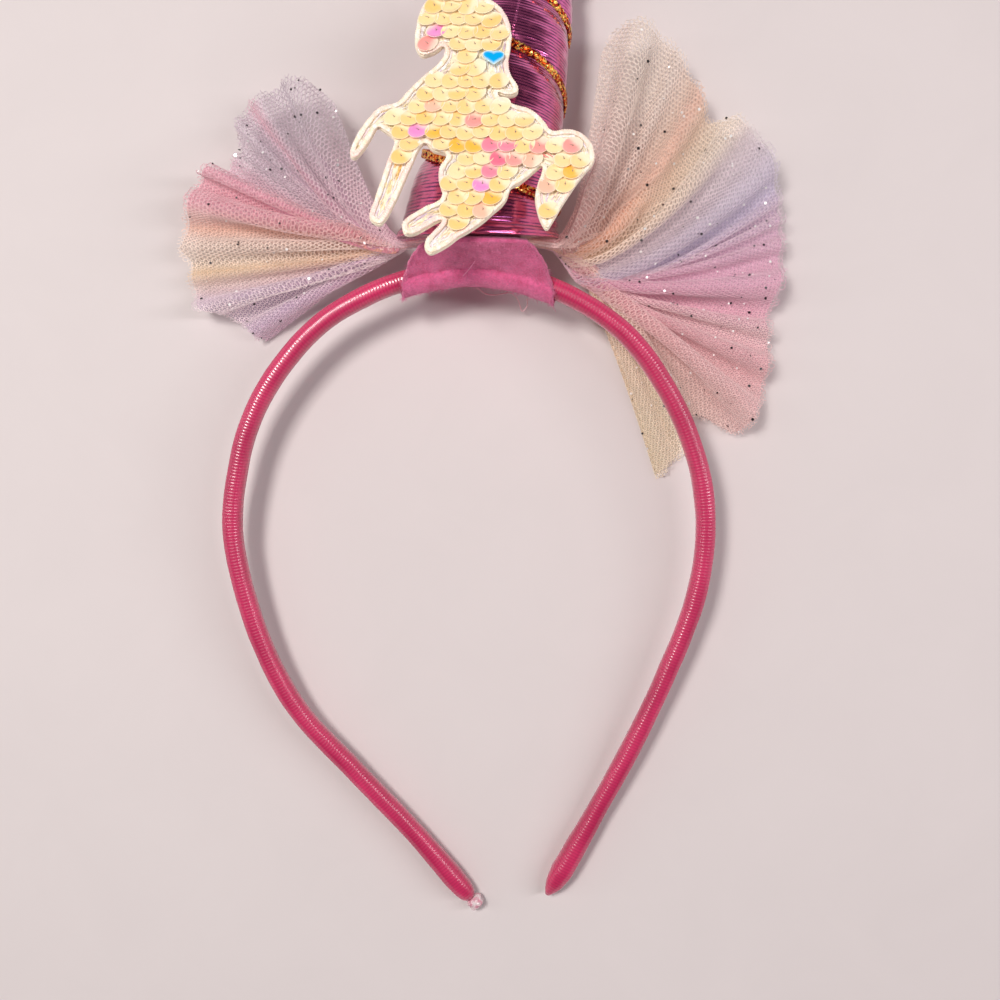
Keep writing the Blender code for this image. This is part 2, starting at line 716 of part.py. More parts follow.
def make_patch(collection):
    """The figure's flat felt, its rolled edge, the sequins and the heart sequin."""
    outline = unicorn_points()
    cream = material("cream_felt", (0.86, 0.76, 0.58), 0.9)
    plate = flat_curve("unicorn_patch", outline, PATCH_THICKNESS)
    lay_on_patch(add_object("unicorn_patch", plate, cream, collection), PATCH_THICKNESS / 2)

    edge = bpy.data.curves.new("unicorn_border", "CURVE")
    edge.dimensions = "3D"
    edge.bevel_depth = BORDER_RADIUS
    edge.bevel_resolution = 0
    line = edge.splines.new("POLY")
    line.points.add(len(outline) - 1)
    line.use_cyclic_u = True
    for point, place in zip(line.points, inset(outline, BORDER_RADIUS)):
        point.co = (place.x, place.y, 0.0, 1.0)
    thread = material("border_thread", (0.90, 0.84, 0.70), 0.6)
    border = add_object("unicorn_border", edge, thread, collection)
    lay_on_patch(border, PATCH_THICKNESS + CLEARANCE + BORDER_RADIUS)


def make_sequins(collection):
    """The sequins, one raised cell each, fused by the cloth that they are sewn to."""
    heart = Vector(HEART_PLACE) * UNICORN_WIDTH
    field = bmesh.new()
    for place in sequin_places(unicorn_points(), heart):
        field.faces.new([field.verts.new((*corner, 0.0)) for corner in hexagon(place)])
    bmesh.ops.remove_doubles(field, verts=field.verts, dist=SEQUIN_PITCH / 100)
    sequins = field.faces[:]
    back = bmesh.ops.extrude_face_region(field, geom=sequins, use_keep_orig=True)
    lowered = [part for part in back["geom"] if isinstance(part, bmesh.types.BMVert)]
    bmesh.ops.translate(field, vec=(0.0, 0.0, -SEQUIN_CLOTH), verts=lowered)
    bmesh.ops.recalc_face_normals(field, faces=field.faces)
    bmesh.ops.inset_individual(
        field, faces=sequins, thickness=SEQUIN_RIM, depth=SEQUIN_HEIGHT, use_even_offset=True
    )
    mesh = bpy.data.meshes.new("unicorn_sequins")
    field.to_mesh(mesh)
    field.free()
    pearl = material("pearl_sequins", (0.90, 0.78, 0.50), 0.2)
    made = add_object("unicorn_sequins", mesh, pearl, collection)
    lay_on_patch(made, PATCH_THICKNESS + CLEARANCE + SEQUIN_CLOTH)
    make_heart(collection, heart)


def make_heart(collection, place):
    """The one heart-shaped sequin, its notch upwards: the usual heart curve, one by one."""
    outline = []
    for k in range(HEART_POINTS):
        turn = 2 * math.pi * k / HEART_POINTS
        wide = math.sin(turn) ** 3 / 2
        tall = (13 * math.cos(turn) - 5 * math.cos(2 * turn) - 2 * math.cos(3 * turn)) / 29
        outline.append(place + Vector((wide * HEART_WIDTH, tall * HEART_HEIGHT)))
    blue = material("blue_sequin", (0.02, 0.55, 0.90), 0.15)
    heart = flat_curve("heart_sequin", outline, HEART_THICKNESS)
    made = add_object("heart_sequin", heart, blue, collection)
    on_cloth = PATCH_THICKNESS + CLEARANCE + SEQUIN_CLOTH + CLEARANCE
    lay_on_patch(made, on_cloth + HEART_THICKNESS / 2)
    return made


def neck_point(x, down, out):
    """Where the gathered tulle passes the horn's base.

    It lies on the base's face at the neck's inner end and comes away from it outwards.
    """
    height = NECK_TOP + (NECK_BOTTOM - NECK_TOP) * down
    away = CLEARANCE + TULLE_THICKNESS / 2 + NECK_COMES_AWAY * out
    return Vector((x, horn_face(x, height) - away, height))


def make_fan(name, rows, exit_x, outward, pleats, colour, collection):
    """A tulle fan: a pleated sheet from the neck out to its lobed rim."""
    lines = pleats * ROWS_PER_PLEAT
    turns = [row.bearing for row in rows]
    spread = [
        sum(abs(b - a) for a, b in zip(turns[:k], turns[1 : k + 1])) for k in range(len(rows))
    ]
    named = [(way / spread[-1], *row) for way, row in zip(spread, rows)]

    def place(down, out):
        share = round(down * lines) / lines
        bearing, reach, lift = (between(named, share, column) for column in (1, 2, 3))
        neck = FAN_NECK_SHARE
        if out < neck:
            x = exit_x + outward * NECK_LENGTH * (out / neck - 1)
            return neck_point(x, share, out / neck)
        leave = neck_point(exit_x, share, 1.0)
        way = math.radians(bearing)
        far = reach * FAN_REACH
        t = (out - neck) / (1 - neck)
        bend = 2 * t * (1 - t) * outward * FAN_BEND * far
        x = leave.x + bend + t * t * far * math.cos(way)
        y = leave.y + t * t * far * math.sin(way)
        rim = lift * FAN_RIM_LIFT
        pleat = math.sin(2 * math.pi * share * pleats) * PLEAT_DEPTH * t**PLEAT_GROWTH
        height = rim + (leave.z - rim) * (1 - t) ** FAN_FALL + pleat
        return Vector((x, y, max(height, TULLE_THICKNESS)))

    net = material(name, colour, 0.8)
    made = add_object(name, sheet_mesh(name, lines, FAN_RINGS, place), net, collection)
    solidify(made, TULLE_THICKNESS)
    return made


def make_glue(collection):
    """The dried glue on the end of the left tip."""
    line, scales = band_line()
    outward = (line[0] - line[1]).normalized()
    ball = bmesh.new()
    bmesh.ops.create_uvsphere(ball, u_segments=GLUE_SIDES, v_segments=GLUE_RINGS, radius=0.5)
    size = (GLUE_LENGTH, GLUE_WIDTH, BAND_DEPTH * scales[0])
    bmesh.ops.scale(ball, vec=size, verts=ball.verts)
    mesh = bpy.data.meshes.new("glue_dab")
    ball.to_mesh(mesh)
    ball.free()
    mesh.shade_smooth()
    clear = material("dried_glue", (0.90, 0.85, 0.80), 0.25)
    made = add_object("glue_dab", mesh, clear, collection)
    made.location = line[0] + outward * (GLUE_LENGTH / 2 + CLEARANCE)
    made.rotation_euler = outward.to_track_quat("X", "Z").to_euler()
    return made


def rest_on_origin(parts, root):
    """Moves the empty so that the origin is below the middle of everything."""
    bpy.context.view_layer.update()
    graph = bpy.context.evaluated_depsgraph_get()
    corners = []
    for part in parts:
        shown = part.evaluated_get(graph)
        mesh = shown.to_mesh()
        corners.extend(shown.matrix_world @ vertex.co for vertex in mesh.vertices)
        shown.to_mesh_clear()
    low = Vector(min(c[k] for c in corners) for k in range(3))
    high = Vector(max(c[k] for c in corners) for k in range(3))
    root.location = Vector((-(low.x + high.x) / 2, -(low.y + high.y) / 2, -low.z))


def main():
    for old in list(bpy.data.objects):
        bpy.data.objects.remove(old)
    collection = bpy.data.collections.new(NAME)
    guides = bpy.data.collections.new("cutters_and_guides")
    guides.hide_render = True
    for made in (collection, guides):
        bpy.context.scene.collection.children.link(made)

    make_band(collection, guides)
    make_glue(collection)
    make_horn(collection)
    make_cord(collection)
    make_felt(collection)
    make_patch(collection)
    make_sequins(collection)
    lilac, cream = (0.62, 0.38, 0.55), (0.75, 0.50, 0.40)
    make_fan("tulle_fan_left", LEFT_FAN, LEFT_EXIT, -1, LEFT_PLEATS, lilac, collection)
    make_fan("tulle_fan_right", RIGHT_FAN, RIGHT_EXIT, 1, RIGHT_PLEATS, cream, collection)

    root = bpy.data.objects.new(NAME, None)
    collection.objects.link(root)
    parts = [made for made in collection.objects if made is not root]
    for part in [*parts, *guides.objects]:
        part.parent = root
    rest_on_origin(parts, root)


if __name__ == "__main__":
    main()
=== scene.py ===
"""A child's unicorn horn headband, lying on its back with the sequin figure up.

Metres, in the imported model's frame: +X across the arch, +Y from the band's tips over the
crown and along the horn, +Z up. Places are worked out from the middle between the tips,
as in the part's source, and moved by SHIFT.
"""

import logging
import math
from collections.abc import Sequence
from dataclasses import dataclass
from enum import Enum
from typing import NamedTuple

import bpy
import numpy as np
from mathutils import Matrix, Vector


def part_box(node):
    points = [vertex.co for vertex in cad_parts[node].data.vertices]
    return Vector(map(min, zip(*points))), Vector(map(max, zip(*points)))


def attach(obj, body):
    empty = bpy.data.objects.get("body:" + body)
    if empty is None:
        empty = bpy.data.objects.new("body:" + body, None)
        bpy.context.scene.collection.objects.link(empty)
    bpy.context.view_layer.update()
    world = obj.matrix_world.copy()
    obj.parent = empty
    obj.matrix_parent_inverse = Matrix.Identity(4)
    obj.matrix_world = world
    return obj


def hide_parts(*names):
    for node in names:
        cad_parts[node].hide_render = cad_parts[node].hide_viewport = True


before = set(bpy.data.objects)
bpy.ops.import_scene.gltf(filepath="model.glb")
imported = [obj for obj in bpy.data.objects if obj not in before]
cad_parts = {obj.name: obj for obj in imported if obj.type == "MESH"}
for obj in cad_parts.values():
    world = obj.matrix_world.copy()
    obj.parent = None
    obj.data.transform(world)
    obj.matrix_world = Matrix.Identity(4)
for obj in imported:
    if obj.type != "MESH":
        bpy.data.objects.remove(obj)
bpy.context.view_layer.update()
LOG = logging.getLogger("unicorn_horn_headband")

Array = np.ndarray
Colour = tuple[float, float, float]

BAND_LOWEST = (-0.05722, -0.00083, 0.0)  # the band's low corner before the shift
SHIFT = np.array(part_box("headband")[0]) * (1, 1, 0) - np.array(BAND_LOWEST)
CLEARANCE = 0.0003
SEED = 11


@dataclass(frozen=True)
class PhotoView:
    """The camera of the photograph, which looks straight down."""

    height: float = 0.290
    field: float = 0.241  # the width of the surface that it sees
    middle: tuple[float, float] = (0.0070, 0.0947)  # below the picture's centre
    pixels: int = 1000

    def place(self, u: float, v: float, z: float) -> Array:
        """The point at a height that the picture shows at a pixel.

        Args:
            u: pixels from the left.
            v: pixels from the top.
            z: height above the surface, in metres.

        Returns:
            The point in the frame, in metres.
        """
        pixel = self.field / self.pixels * (1 - z / self.height)
        half = self.pixels / 2
        point = (self.middle[0] + (u - half) * pixel, self.middle[1] + (half - v) * pixel, z)
        return np.array(point) + SHIFT


VIEW = PhotoView()


def srgb(red: int, green: int, blue: int) -> Colour:
    """A colour named by its screen values, as linear light."""
    shares = [value / 255 for value in (red, green, blue)]
    linear = [s / 12.92 if s <= 0.04045 else ((s + 0.055) / 1.055) ** 2.4 for s in shares]
    return (linear[0], linear[1], linear[2])


def deselect() -> None:
    """Leaves nothing selected."""
    for made in bpy.context.selected_objects:
        made.select_set(False)


def select_only(made: bpy.types.Object) -> None:
    """Makes one object the only selected and the active one."""
    deselect()
    made.select_set(True)
    bpy.context.view_layer.objects.active = made


def mesh_piece(
    name: str,
    points: Array,
    faces: Array,
    finish: bpy.types.Material,
    uv: Array | None = None,
    tint: Array | None = None,
    cover: Array | None = None,
    smooth: bool = True,
) -> bpy.types.Object:
    """A mesh object with its place in its mesh.

    Args:
        name: the piece's name.
        points: its corners, n by 3.
        faces: corner numbers, all faces with equally many corners.
        finish: its material.
        uv: a surface coordinate for each corner.
        tint: a colour for each corner.
        cover: how closed the cloth is at each corner, from 0 to 1.
        smooth: whether it is shaded smooth.

    Returns:
        The object, linked to the scene.
    """
    mesh = bpy.data.meshes.new(name)
    mesh.from_pydata(points.reshape(-1, 3).tolist(), [], faces.tolist())
    if uv is not None:
        layer = mesh.uv_layers.new(name="way")
        layer.data.foreach_set("uv", uv.reshape(-1, 2)[faces.ravel()].astype(np.float32).ravel())
    if tint is not None:
        colours = np.ones((len(mesh.vertices), 4), np.float32)
        colours[:, :3] = tint.reshape(-1, 3)
        attribute = mesh.color_attributes.new("tint", "FLOAT_COLOR", "POINT")
        attribute.data.foreach_set("color", colours.ravel())
    if cover is not None:
        attribute = mesh.attributes.new("cover", "FLOAT", "POINT")
        attribute.data.foreach_set("value", cover.astype(np.float32).ravel())
    mesh.materials.append(finish)
    if smooth:
        mesh.shade_smooth()
    made = bpy.data.objects.new(name, mesh)
    bpy.context.scene.collection.objects.link(made)
    return made


def grid_faces(rows: int, columns: int, ring: bool = False) -> Array:
    """The quads of a grid of corners.

    Args:
        rows: rows of corners.
        columns: corners in a row.
        ring: whether each row closes on itself.

    Returns:
        Corner numbers, four to a face.
    """
    across = columns if ring else columns - 1
    row, column = np.meshgrid(np.arange(rows - 1), np.arange(across), indexing="ij")
    after = (column + 1) % columns
    low, high = row * columns, (row + 1) * columns
    quads = np.stack([low + column, low + after, high + after, high + column], axis=-1)
    return quads.reshape(-1, 4)


def cap_faces(first: int, sides: int, apex: int, outward: bool) -> Array:
    """Quads with two equal corners are refused, so a cap is a fan of triangles.

    Args:
        first: the first corner of the ring.
        sides: corners in the ring.
        apex: the corner in the middle.
        outward: whether the ring's order already faces out.

    Returns:
        Corner numbers, three to a face.
    """
    here = first + np.arange(sides)
    after = first + (np.arange(sides) + 1) % sides
    middle = np.full(sides, apex)
    fan = [middle, here, after] if outward else [middle, after, here]
    return np.stack(fan, axis=-1)


def triangles(quads: Array) -> Array:
    """Each quad as two triangles."""
    return np.concatenate([quads[:, [0, 1, 2]], quads[:, [0, 2, 3]]])


def smooth_line(points: Array, spans: int, closed: bool = False) -> Array:
    """A Catmull-Rom curve through points.

    Args:
        points: n by 2 or 3.
        spans: new points for each given one.
        closed: whether the line returns to its start.

    Returns:
        The points of the curve.
    """
    if closed:
        padded = np.concatenate([points[-1:], points, points[:2]])
    else:
        first, last = 2 * points[0] - points[1], 2 * points[-1] - points[-2]
        padded = np.concatenate([first[None], points, last[None]])
    a, b, c, d = padded[:-3], padded[1:-2], padded[2:-1], padded[3:]
    t = (np.arange(spans) / spans)[None, :, None]
    a, b, c, d = (part[:, None, :] for part in (a, b, c, d))
    bend = (2 * a - 5 * b + 4 * c - d) * t**2
    line = b + ((c - a) * t + bend + (3 * b - a - 3 * c + d) * t**3) / 2
    line = line.reshape(-1, points.shape[1])
    return line if closed else np.concatenate([line, points[-1:]])


def lengths(line: Array) -> Array:
    """The distance along a line at each of its points."""
    steps = np.linalg.norm(np.diff(line, axis=0), axis=1)
    return np.concatenate([[0.0], np.cumsum(steps)])


def even_line(line: Array, step: float, closed: bool = False) -> Array:
    """The same line with its points about a step apart."""
    if closed:
        line = np.concatenate([line, line[:1]])
    way = lengths(line[:, :3])
    count = max(3, round(way[-1] / step))
    at = np.linspace(0, way[-1], count + 1)
    even = np.stack([np.interp(at, way, line[:, k]) for k in range(line.shape[1])], axis=-1)
    return even[:-1] if closed else even


def unit(vectors: Array) -> Array:
    """Vectors at length one."""
    size = np.linalg.norm(vectors, axis=-1, keepdims=True)
    return vectors / np.maximum(size, 1e-12)


def directions(line: Array, closed: bool = False) -> Array:
    """The direction of a line at each of its points."""
    if closed:
        return unit(np.roll(line, -1, axis=0) - np.roll(line, 1, axis=0))
    return unit(np.gradient(line, axis=0))


class Swept(NamedTuple):
    """A tube along a line: its corners, faces and surface coordinate."""

    points: Array
    faces: Array
    uv: Array


def sweep(
    line: Array,
    up: Array,
    section: Array,
    closed: bool = False,
    radius: float = 0.001,
) -> Swept:
    """Carries a section along a line.

    Args:
        line: the middle of the tube, n by 3.
        up: the section's up direction, n by 3 or one vector.
        section: k corners as sideways and up, for all points or for each.
        closed: whether the tube returns to its start.
        radius: turns the way round the section into metres, for the surface coordinate.

    Returns:
        The tube, with its ends capped if it is open.
    """
    along = directions(line, closed)
    up = np.broadcast_to(up, line.shape)
    side = unit(np.cross(along, up))
    up = np.cross(side, along)
    section = np.broadcast_to(section, (len(line), *section.shape[-2:]))
    sides = section.shape[1]
    rings = line[:, None] + side[:, None] * section[..., :1] + up[:, None] * section[..., 1:]
    quads = grid_faces(len(line), sides, ring=True)
    if closed:
        last = (len(line) - 1) * sides
        here, after = np.arange(sides), (np.arange(sides) + 1) % sides
        seam = np.stack([last + here, last + after, after, here], axis=-1)
        quads = np.concatenate([quads, seam])
    faces = triangles(quads)
    points = rings.reshape(-1, 3)
    way = lengths(line)
    around = np.arange(sides) / sides * 2 * math.pi * radius
    uv = np.stack(np.broadcast_arrays(way[:, None], around[None, :]), axis=-1).reshape(-1, 2)
    if not closed:
        ends = np.stack([rings[0].mean(axis=0), rings[-1].mean(axis=0)])
        first, last = len(points), (len(line) - 1) * sides
        points = np.concatenate([points, ends])
        uv = np.concatenate([uv, [[0.0, 0.0], [way[-1], 0.0]]])
        caps = [cap_faces(0, sides, first, False), cap_faces(last, sides, first + 1, True)]
        faces = np.concatenate([faces, *caps])
    return Swept(points, faces, uv)


def oval(sides: int, across: float, deep: float) -> Array:
    """The corners of an oval section, half as wide and deep as said to each side."""
    turn = 2 * math.pi * np.arange(sides) / sides
    return np.stack([across * np.cos(turn), deep * np.sin(turn)], axis=-1)


def joined(parts: Sequence[Swept]) -> Swept:
    """Several tubes as one mesh."""
    points, faces, uv, count = [], [], [], 0
    for part in parts:
        points.append(part.points)
        faces.append(part.faces + count)
        uv.append(part.uv)
        count += len(part.points)
    return Swept(np.concatenate(points), np.concatenate(faces), np.concatenate(uv))


def copies(points: Array, faces: Array, frames: Array, places: Array) -> tuple[Array, Array]:
    """A small shape repeated.

    Args:
        points: the shape's corners, k by 3.
        faces: its faces.
        frames: a 3 by 3 matrix for each copy, its rows the copy's own axes.
        places: where each copy's origin goes, n by 3.

    Returns:
        All the corners, n by k by 3, and all the faces.
    """
    moved = np.einsum("kc,ncd->nkd", points, frames) + places[:, None]
    numbers = np.arange(len(places))[:, None, None] * len(points) + faces[None]
    return moved, numbers.reshape(-1, faces.shape[1])


def ripple(points: Array, pitch: float, seed: float = 0.0) -> Array:
    """A smooth wavy value between about -1 and 1 that changes over the space.

    Args:
        points: where it is read, n by 3.
        pitch: the distance from one wave to the next.
        seed: picks another pattern.

    Returns:
        One value for each point.
    """
    random = np.random.default_rng(int(SEED + 100 * seed))
    total = np.zeros(points.shape[:-1])
    for _ in range(6):
        way = random.normal(size=3)
        way *= 2 * math.pi / pitch / np.linalg.norm(way) * random.uniform(0.6, 1.5)
        total += np.sin(points @ way + random.uniform(0, 2 * math.pi))
    return total / 3.2


Socket = bpy.types.NodeSocket


class Finish:
    """A material put together from nodes round one Principled shader."""

    def __init__(self, name: str, sockets: dict[str, float | Colour]) -> None:
        """Starts the material.

        Args:
            name: the material's name.
            sockets: values set on the shader's own sockets.
        """
        self.material = bpy.data.materials.new(name)
        self.material.use_nodes = True
        self.tree = self.material.node_tree
        self.shader = self.tree.nodes["Principled BSDF"]
        for socket, value in sockets.items():
            self.put(self.shader.inputs[socket], value)

    def put(self, socket: Socket, value: float | Sequence[float] | Socket) -> None:
        """Links a socket to another, or sets it."""
        if isinstance(value, bpy.types.NodeSocket):
            self.tree.links.new(value, socket)
        elif socket.type == "RGBA" and len(value) == 3:
            socket.default_value = (*value, 1.0)
        else:
            socket.default_value = value

    def add(self, kind: str, **settings: object) -> bpy.types.Node:
        """A new node with its settings."""
        made = self.tree.nodes.new(kind)
        for setting, value in settings.items():
            setattr(made, setting, value)
        return made

    def place(self) -> Socket:
        """The place on the piece, in metres."""
        return self.add("ShaderNodeTexCoord").outputs["Object"]

    def way(self) -> Socket:
        """The piece's surface coordinate, in metres."""
        return self.add("ShaderNodeUVMap", uv_map="way").outputs["UV"]

    def attribute(self, name: str, output: str = "Color") -> Socket:
        """A value that each corner carries."""
        return self.add("ShaderNodeAttribute", attribute_name=name).outputs[output]

    def stretched(self, vector: Socket, scale: Sequence[float]) -> Socket:
        """A coordinate multiplied along its axes."""
        made = self.add("ShaderNodeMapping")
        self.put(made.inputs["Vector"], vector)
        made.inputs["Scale"].default_value = scale
        return made.outputs["Vector"]

    def noise(self, vector: Socket, scale: float, detail: float = 2.0) -> Socket:
        """A cloudy value from 0 to 1."""
        made = self.add("ShaderNodeTexNoise")
        self.put(made.inputs["Vector"], vector)
        made.inputs["Scale"].default_value = scale
        made.inputs["Detail"].default_value = detail
        return made.outputs["Fac"]

    def wave(self, vector: Socket, period: float, wobble: float = 0.0, axis: str = "X") -> Socket:
        """Even ridges across one axis.

        Args:
            vector: the coordinate.
            period: from one ridge to the next, in the coordinate's unit.
            wobble: how much noise bends them.
            axis: the axis that they repeat along.

        Returns:
            A value from 0 to 1.
        """
        made = self.add("ShaderNodeTexWave", wave_type="BANDS", bands_direction=axis)
        self.put(made.inputs["Vector"], vector)
        made.inputs["Scale"].default_value = math.pi / 10 / period
        made.inputs["Distortion"].default_value = wobble
        made.inputs["Detail Scale"].default_value = 1.5
        return made.outputs["Fac"]

    def ramp(self, value: Socket, *stops: tuple[float, Colour]) -> Socket:
        """A colour picked by a value."""
        made = self.add("ShaderNodeValToRGB")
        self.put(made.inputs["Fac"], value)
        points = made.color_ramp.elements
        while len(points) < len(stops):
            points.new(0.5)
        for point, (at, colour) in zip(points, stops):
            point.position = at
            point.color = (*colour, 1.0)
        return made.outputs["Color"]

    def mix(
        self,
        factor: float | Socket,
        first: Colour | Socket,
        second: Colour | Socket,
        blend: str = "MIX",
    ) -> Socket:
        """Two colours mixed.

        Args:
            factor: the share of the second.
            first: a colour.
            second: a colour.
            blend: how they are put together.

        Returns:
            The mixed colour.
        """
        made = self.add("ShaderNodeMix", data_type="RGBA", blend_type=blend)
        for number, value in ((0, factor), (6, first), (7, second)):
            self.put(made.inputs[number], value)
        return made.outputs[2]

    def sum(self, operation: str, first: float | Socket, second: float | Socket) -> Socket:
        """Two values put together by a named operation, kept from 0 to 1."""
        made = self.add("ShaderNodeMath", operation=operation, use_clamp=True)
        self.put(made.inputs[0], first)
        self.put(made.inputs[1], second)
        return made.outputs[0]

    def spread(self, value: Socket, low: float, high: float, to: Sequence[float]) -> Socket:
        """A value's range moved to another range, and kept in it."""
        made = self.add("ShaderNodeMapRange")
        self.put(made.inputs["Value"], value)
        for socket, number in zip(("From Min", "From Max", "To Min", "To Max"), (low, high, *to)):
            made.inputs[socket].default_value = number
        return made.outputs["Result"]

    def colour(self, value: Colour | Socket) -> None:
        """Sets the base colour."""
        self.put(self.shader.inputs["Base Color"], value)

    def relief(self, height: Socket, distance: float, strength: float = 1.0) -> None:
        """Raises the surface by a height.

        Args:
            height: from 0 to 1.
            distance: what 1 stands for, in metres.
            strength: how strongly it shades.
        """
        made = self.add("ShaderNodeBump")
        made.inputs["Distance"].default_value = distance
        made.inputs["Strength"].default_value = strength
        self.put(made.inputs["Height"], height)
        earlier = self.shader.inputs["Normal"].links
        if earlier:
            self.put(made.inputs["Normal"], earlier[0].from_socket)
        self.put(self.shader.inputs["Normal"], made.outputs["Normal"])
        self.put(self.shader.inputs["Coat Normal"], made.outputs["Normal"])

    def fibres(self, colour: Colour | Socket, pitch: float, depth: float) -> tuple[Socket, Socket]:
        """The fibre effect that cloth finishes share.

        Args:
            colour: the cloth's colour.
            pitch: the size of its specks, in metres.
            depth: how far light and dark specks differ, as a share.

        Returns:
            The colour, and a height for the relief.
        """
        made = self.add("ShaderNodeGroup", node_tree=fibre_effect())
        for socket, value in (("Colour", colour), ("Pitch", pitch), ("Depth", depth)):
            self.put(made.inputs[socket], value)
        return made.outputs["Colour"], made.outputs["Height"]


def fibre_effect() -> bpy.types.ShaderNodeTree:
    """The node group of loose fibres: specks of light and dark, and their height."""
    name = "fibre_effect"
    if name in bpy.data.node_groups:
        return bpy.data.node_groups[name]
    group = bpy.data.node_groups.new(name, "ShaderNodeTree")
    for socket, kind in (("Colour", "Color"), ("Pitch", "Float"), ("Depth", "Float")):
        group.interface.new_socket(socket, in_out="INPUT", socket_type="NodeSocket" + kind)
    for socket, kind in (("Colour", "Color"), ("Height", "Float")):
        group.interface.new_socket(socket, in_out="OUTPUT", socket_type="NodeSocket" + kind)
    nodes, link = group.nodes, group.links.new
    given, out = nodes.new("NodeGroupInput"), nodes.new("NodeGroupOutput")
    place = nodes.new("ShaderNodeTexCoord").outputs["Object"]
    scale = nodes.new("ShaderNodeMath")
    scale.operation = "DIVIDE"
    scale.inputs[0].default_value = 1.0
    link(given.outputs["Pitch"], scale.inputs[1])
    specks = nodes.new("ShaderNodeTexNoise")
    specks.inputs["Detail"].default_value = 4.0
    specks.inputs["Roughness"].default_value = 0.65
    specks.inputs["Distortion"].default_value = 0.6
    link(place, specks.inputs["Vector"])
    link(scale.outputs[0], specks.inputs["Scale"])
    swing = nodes.new("ShaderNodeMapRange")
    for socket, value in (("From Min", 0.3), ("From Max", 0.7), ("To Min", -1.0)):
        swing.inputs[socket].default_value = value
    link(specks.outputs["Fac"], swing.inputs["Value"])
    amount = nodes.new("ShaderNodeMath")
    amount.operation = "MULTIPLY_ADD"
    link(swing.outputs["Result"], amount.inputs[0])
    link(given.outputs["Depth"], amount.inputs[1])
    amount.inputs[2].default_value = 1.0
    shaded = nodes.new("ShaderNodeVectorMath")
    shaded.operation = "SCALE"
    link(given.outputs["Colour"], shaded.inputs[0])
    link(amount.outputs[0], shaded.inputs["Scale"])
    link(shaded.outputs[0], out.inputs["Colour"])
    link(specks.outputs["Fac"], out.inputs["Height"])
    return group


class Piece(Enum):
    """The finishes, by the record's material slots."""

    SATIN = "satin_ribbon"
    GLUE = "dried_glue"
    LAME = "horn_lame"
    CORD = "glitter_cord"
    FELT = "pink_felt"
    NET_LEFT = "tulle_left"
    NET_RIGHT = "tulle_right"
    CREAM = "cream_felt"
    THREAD = "border_thread"
    SEQUIN = "pearl_sequins"
    HEART = "blue_sequin"


def satin_finish() -> bpy.types.Material:
    """Crimson-pink satin whose weft makes fine ribs across the band, with painted shade in the grooves
    between them.
    """
    made = Finish(
        "satin",
        {
            "Roughness": 0.42,
            "Sheen Weight": 0.3,
            "Sheen Roughness": 0.35,
            "Sheen Tint": (1.0, 0.5, 0.68, 1.0),
            "Coat Weight": 0.75,
            "Coat Roughness": 0.17,
        },
    )
    way = made.way()
    clouds = made.noise(made.stretched(way, (60, 260, 1)), 1.0, 3.0)
    ribs = made.wave(way, 0.00072, 0.9)
    shade = made.ramp(clouds, (0.3, srgb(176, 24, 76)), (0.72, srgb(212, 48, 100)))
    # The grooves between the ribs are painted darker, towards deep crimson: painted shade.
    made.colour(made.mix(made.spread(ribs, 0.0, 0.5, (0.26, 0.0)), shade, srgb(120, 8, 52)))
    made.relief(ribs, 0.00005, 0.6)
    made.relief(made.noise(made.stretched(way, (1400, 500, 1)), 1.0), 0.00003, 0.5)
    return made.material


def lame_finish() -> bpy.types.Material:
    """Pink metallic cloth, finely ribbed across the horn, redder near its base, its rib grooves painted
    dark purple in cloudy patches as painted shade.
    """
    made = Finish(
        "lame",
        {"Metallic": 0.88, "Roughness": 0.2, "Coat Weight": 0.8, "Coat Roughness": 0.16},
    )
    way = made.way()
    along = made.add("ShaderNodeSeparateXYZ")
    made.put(along.inputs[0], way)
    shade = made.ramp(
        made.spread(along.outputs["X"], 0.0, 0.1, (0, 1)),
        (0.0, srgb(214, 84, 128)),
        (0.4, srgb(220, 104, 158)),
        (1.0, srgb(222, 112, 186)),
    )
    ribs = made.wave(made.stretched(way, (1, 0.1, 1)), 0.0007, 1.0)
    shade_patches = made.noise(made.stretched(way, (700, 260, 1)), 1.0, 3.0)
    # Where a rib groove meets a cloudy patch, the colour is painted near-black purple: painted shade.
    deep = made.sum("MULTIPLY", made.spread(ribs, 0.1, 0.6, (1, 0)), made.spread(shade_patches, 0.34, 0.52, (0, 1)))
    made.colour(made.mix(made.sum("MULTIPLY", deep, 0.95), shade, srgb(96, 4, 84)))
    made.relief(ribs, 0.00003, 0.6)
    made.relief(made.noise(made.stretched(way, (1500, 300, 1)), 1.0, 3.0), 0.00006, 0.5)
    made.relief(made.noise(made.stretched(way, (220, 110, 1)), 1.0, 2.0), 0.0004, 0.3)
    return made.material


def glitter_finish() -> bpy.types.Material:
    """Metallic thread that glints from gold to dark red."""
    made = Finish("glitter", {"Metallic": 0.85, "Roughness": 0.26})
    place = made.place()
    cells = made.add("ShaderNodeTexVoronoi")
    made.put(cells.inputs["Vector"], place)
    cells.inputs["Scale"].default_value = 1900.0
    random = made.add("ShaderNodeSeparateColor")
    made.put(random.inputs[0], cells.outputs["Color"])
    made.colour(
        made.ramp(
            random.outputs[0],
            (0.05, srgb(90, 12, 24)),
            (0.3, srgb(206, 46, 30)),
            (0.55, srgb(246, 128, 44)),
            (0.8, srgb(255, 214, 120)),
        )
    )
    made.relief(random.outputs[1], 0.0003, 0.8)
    return made.material


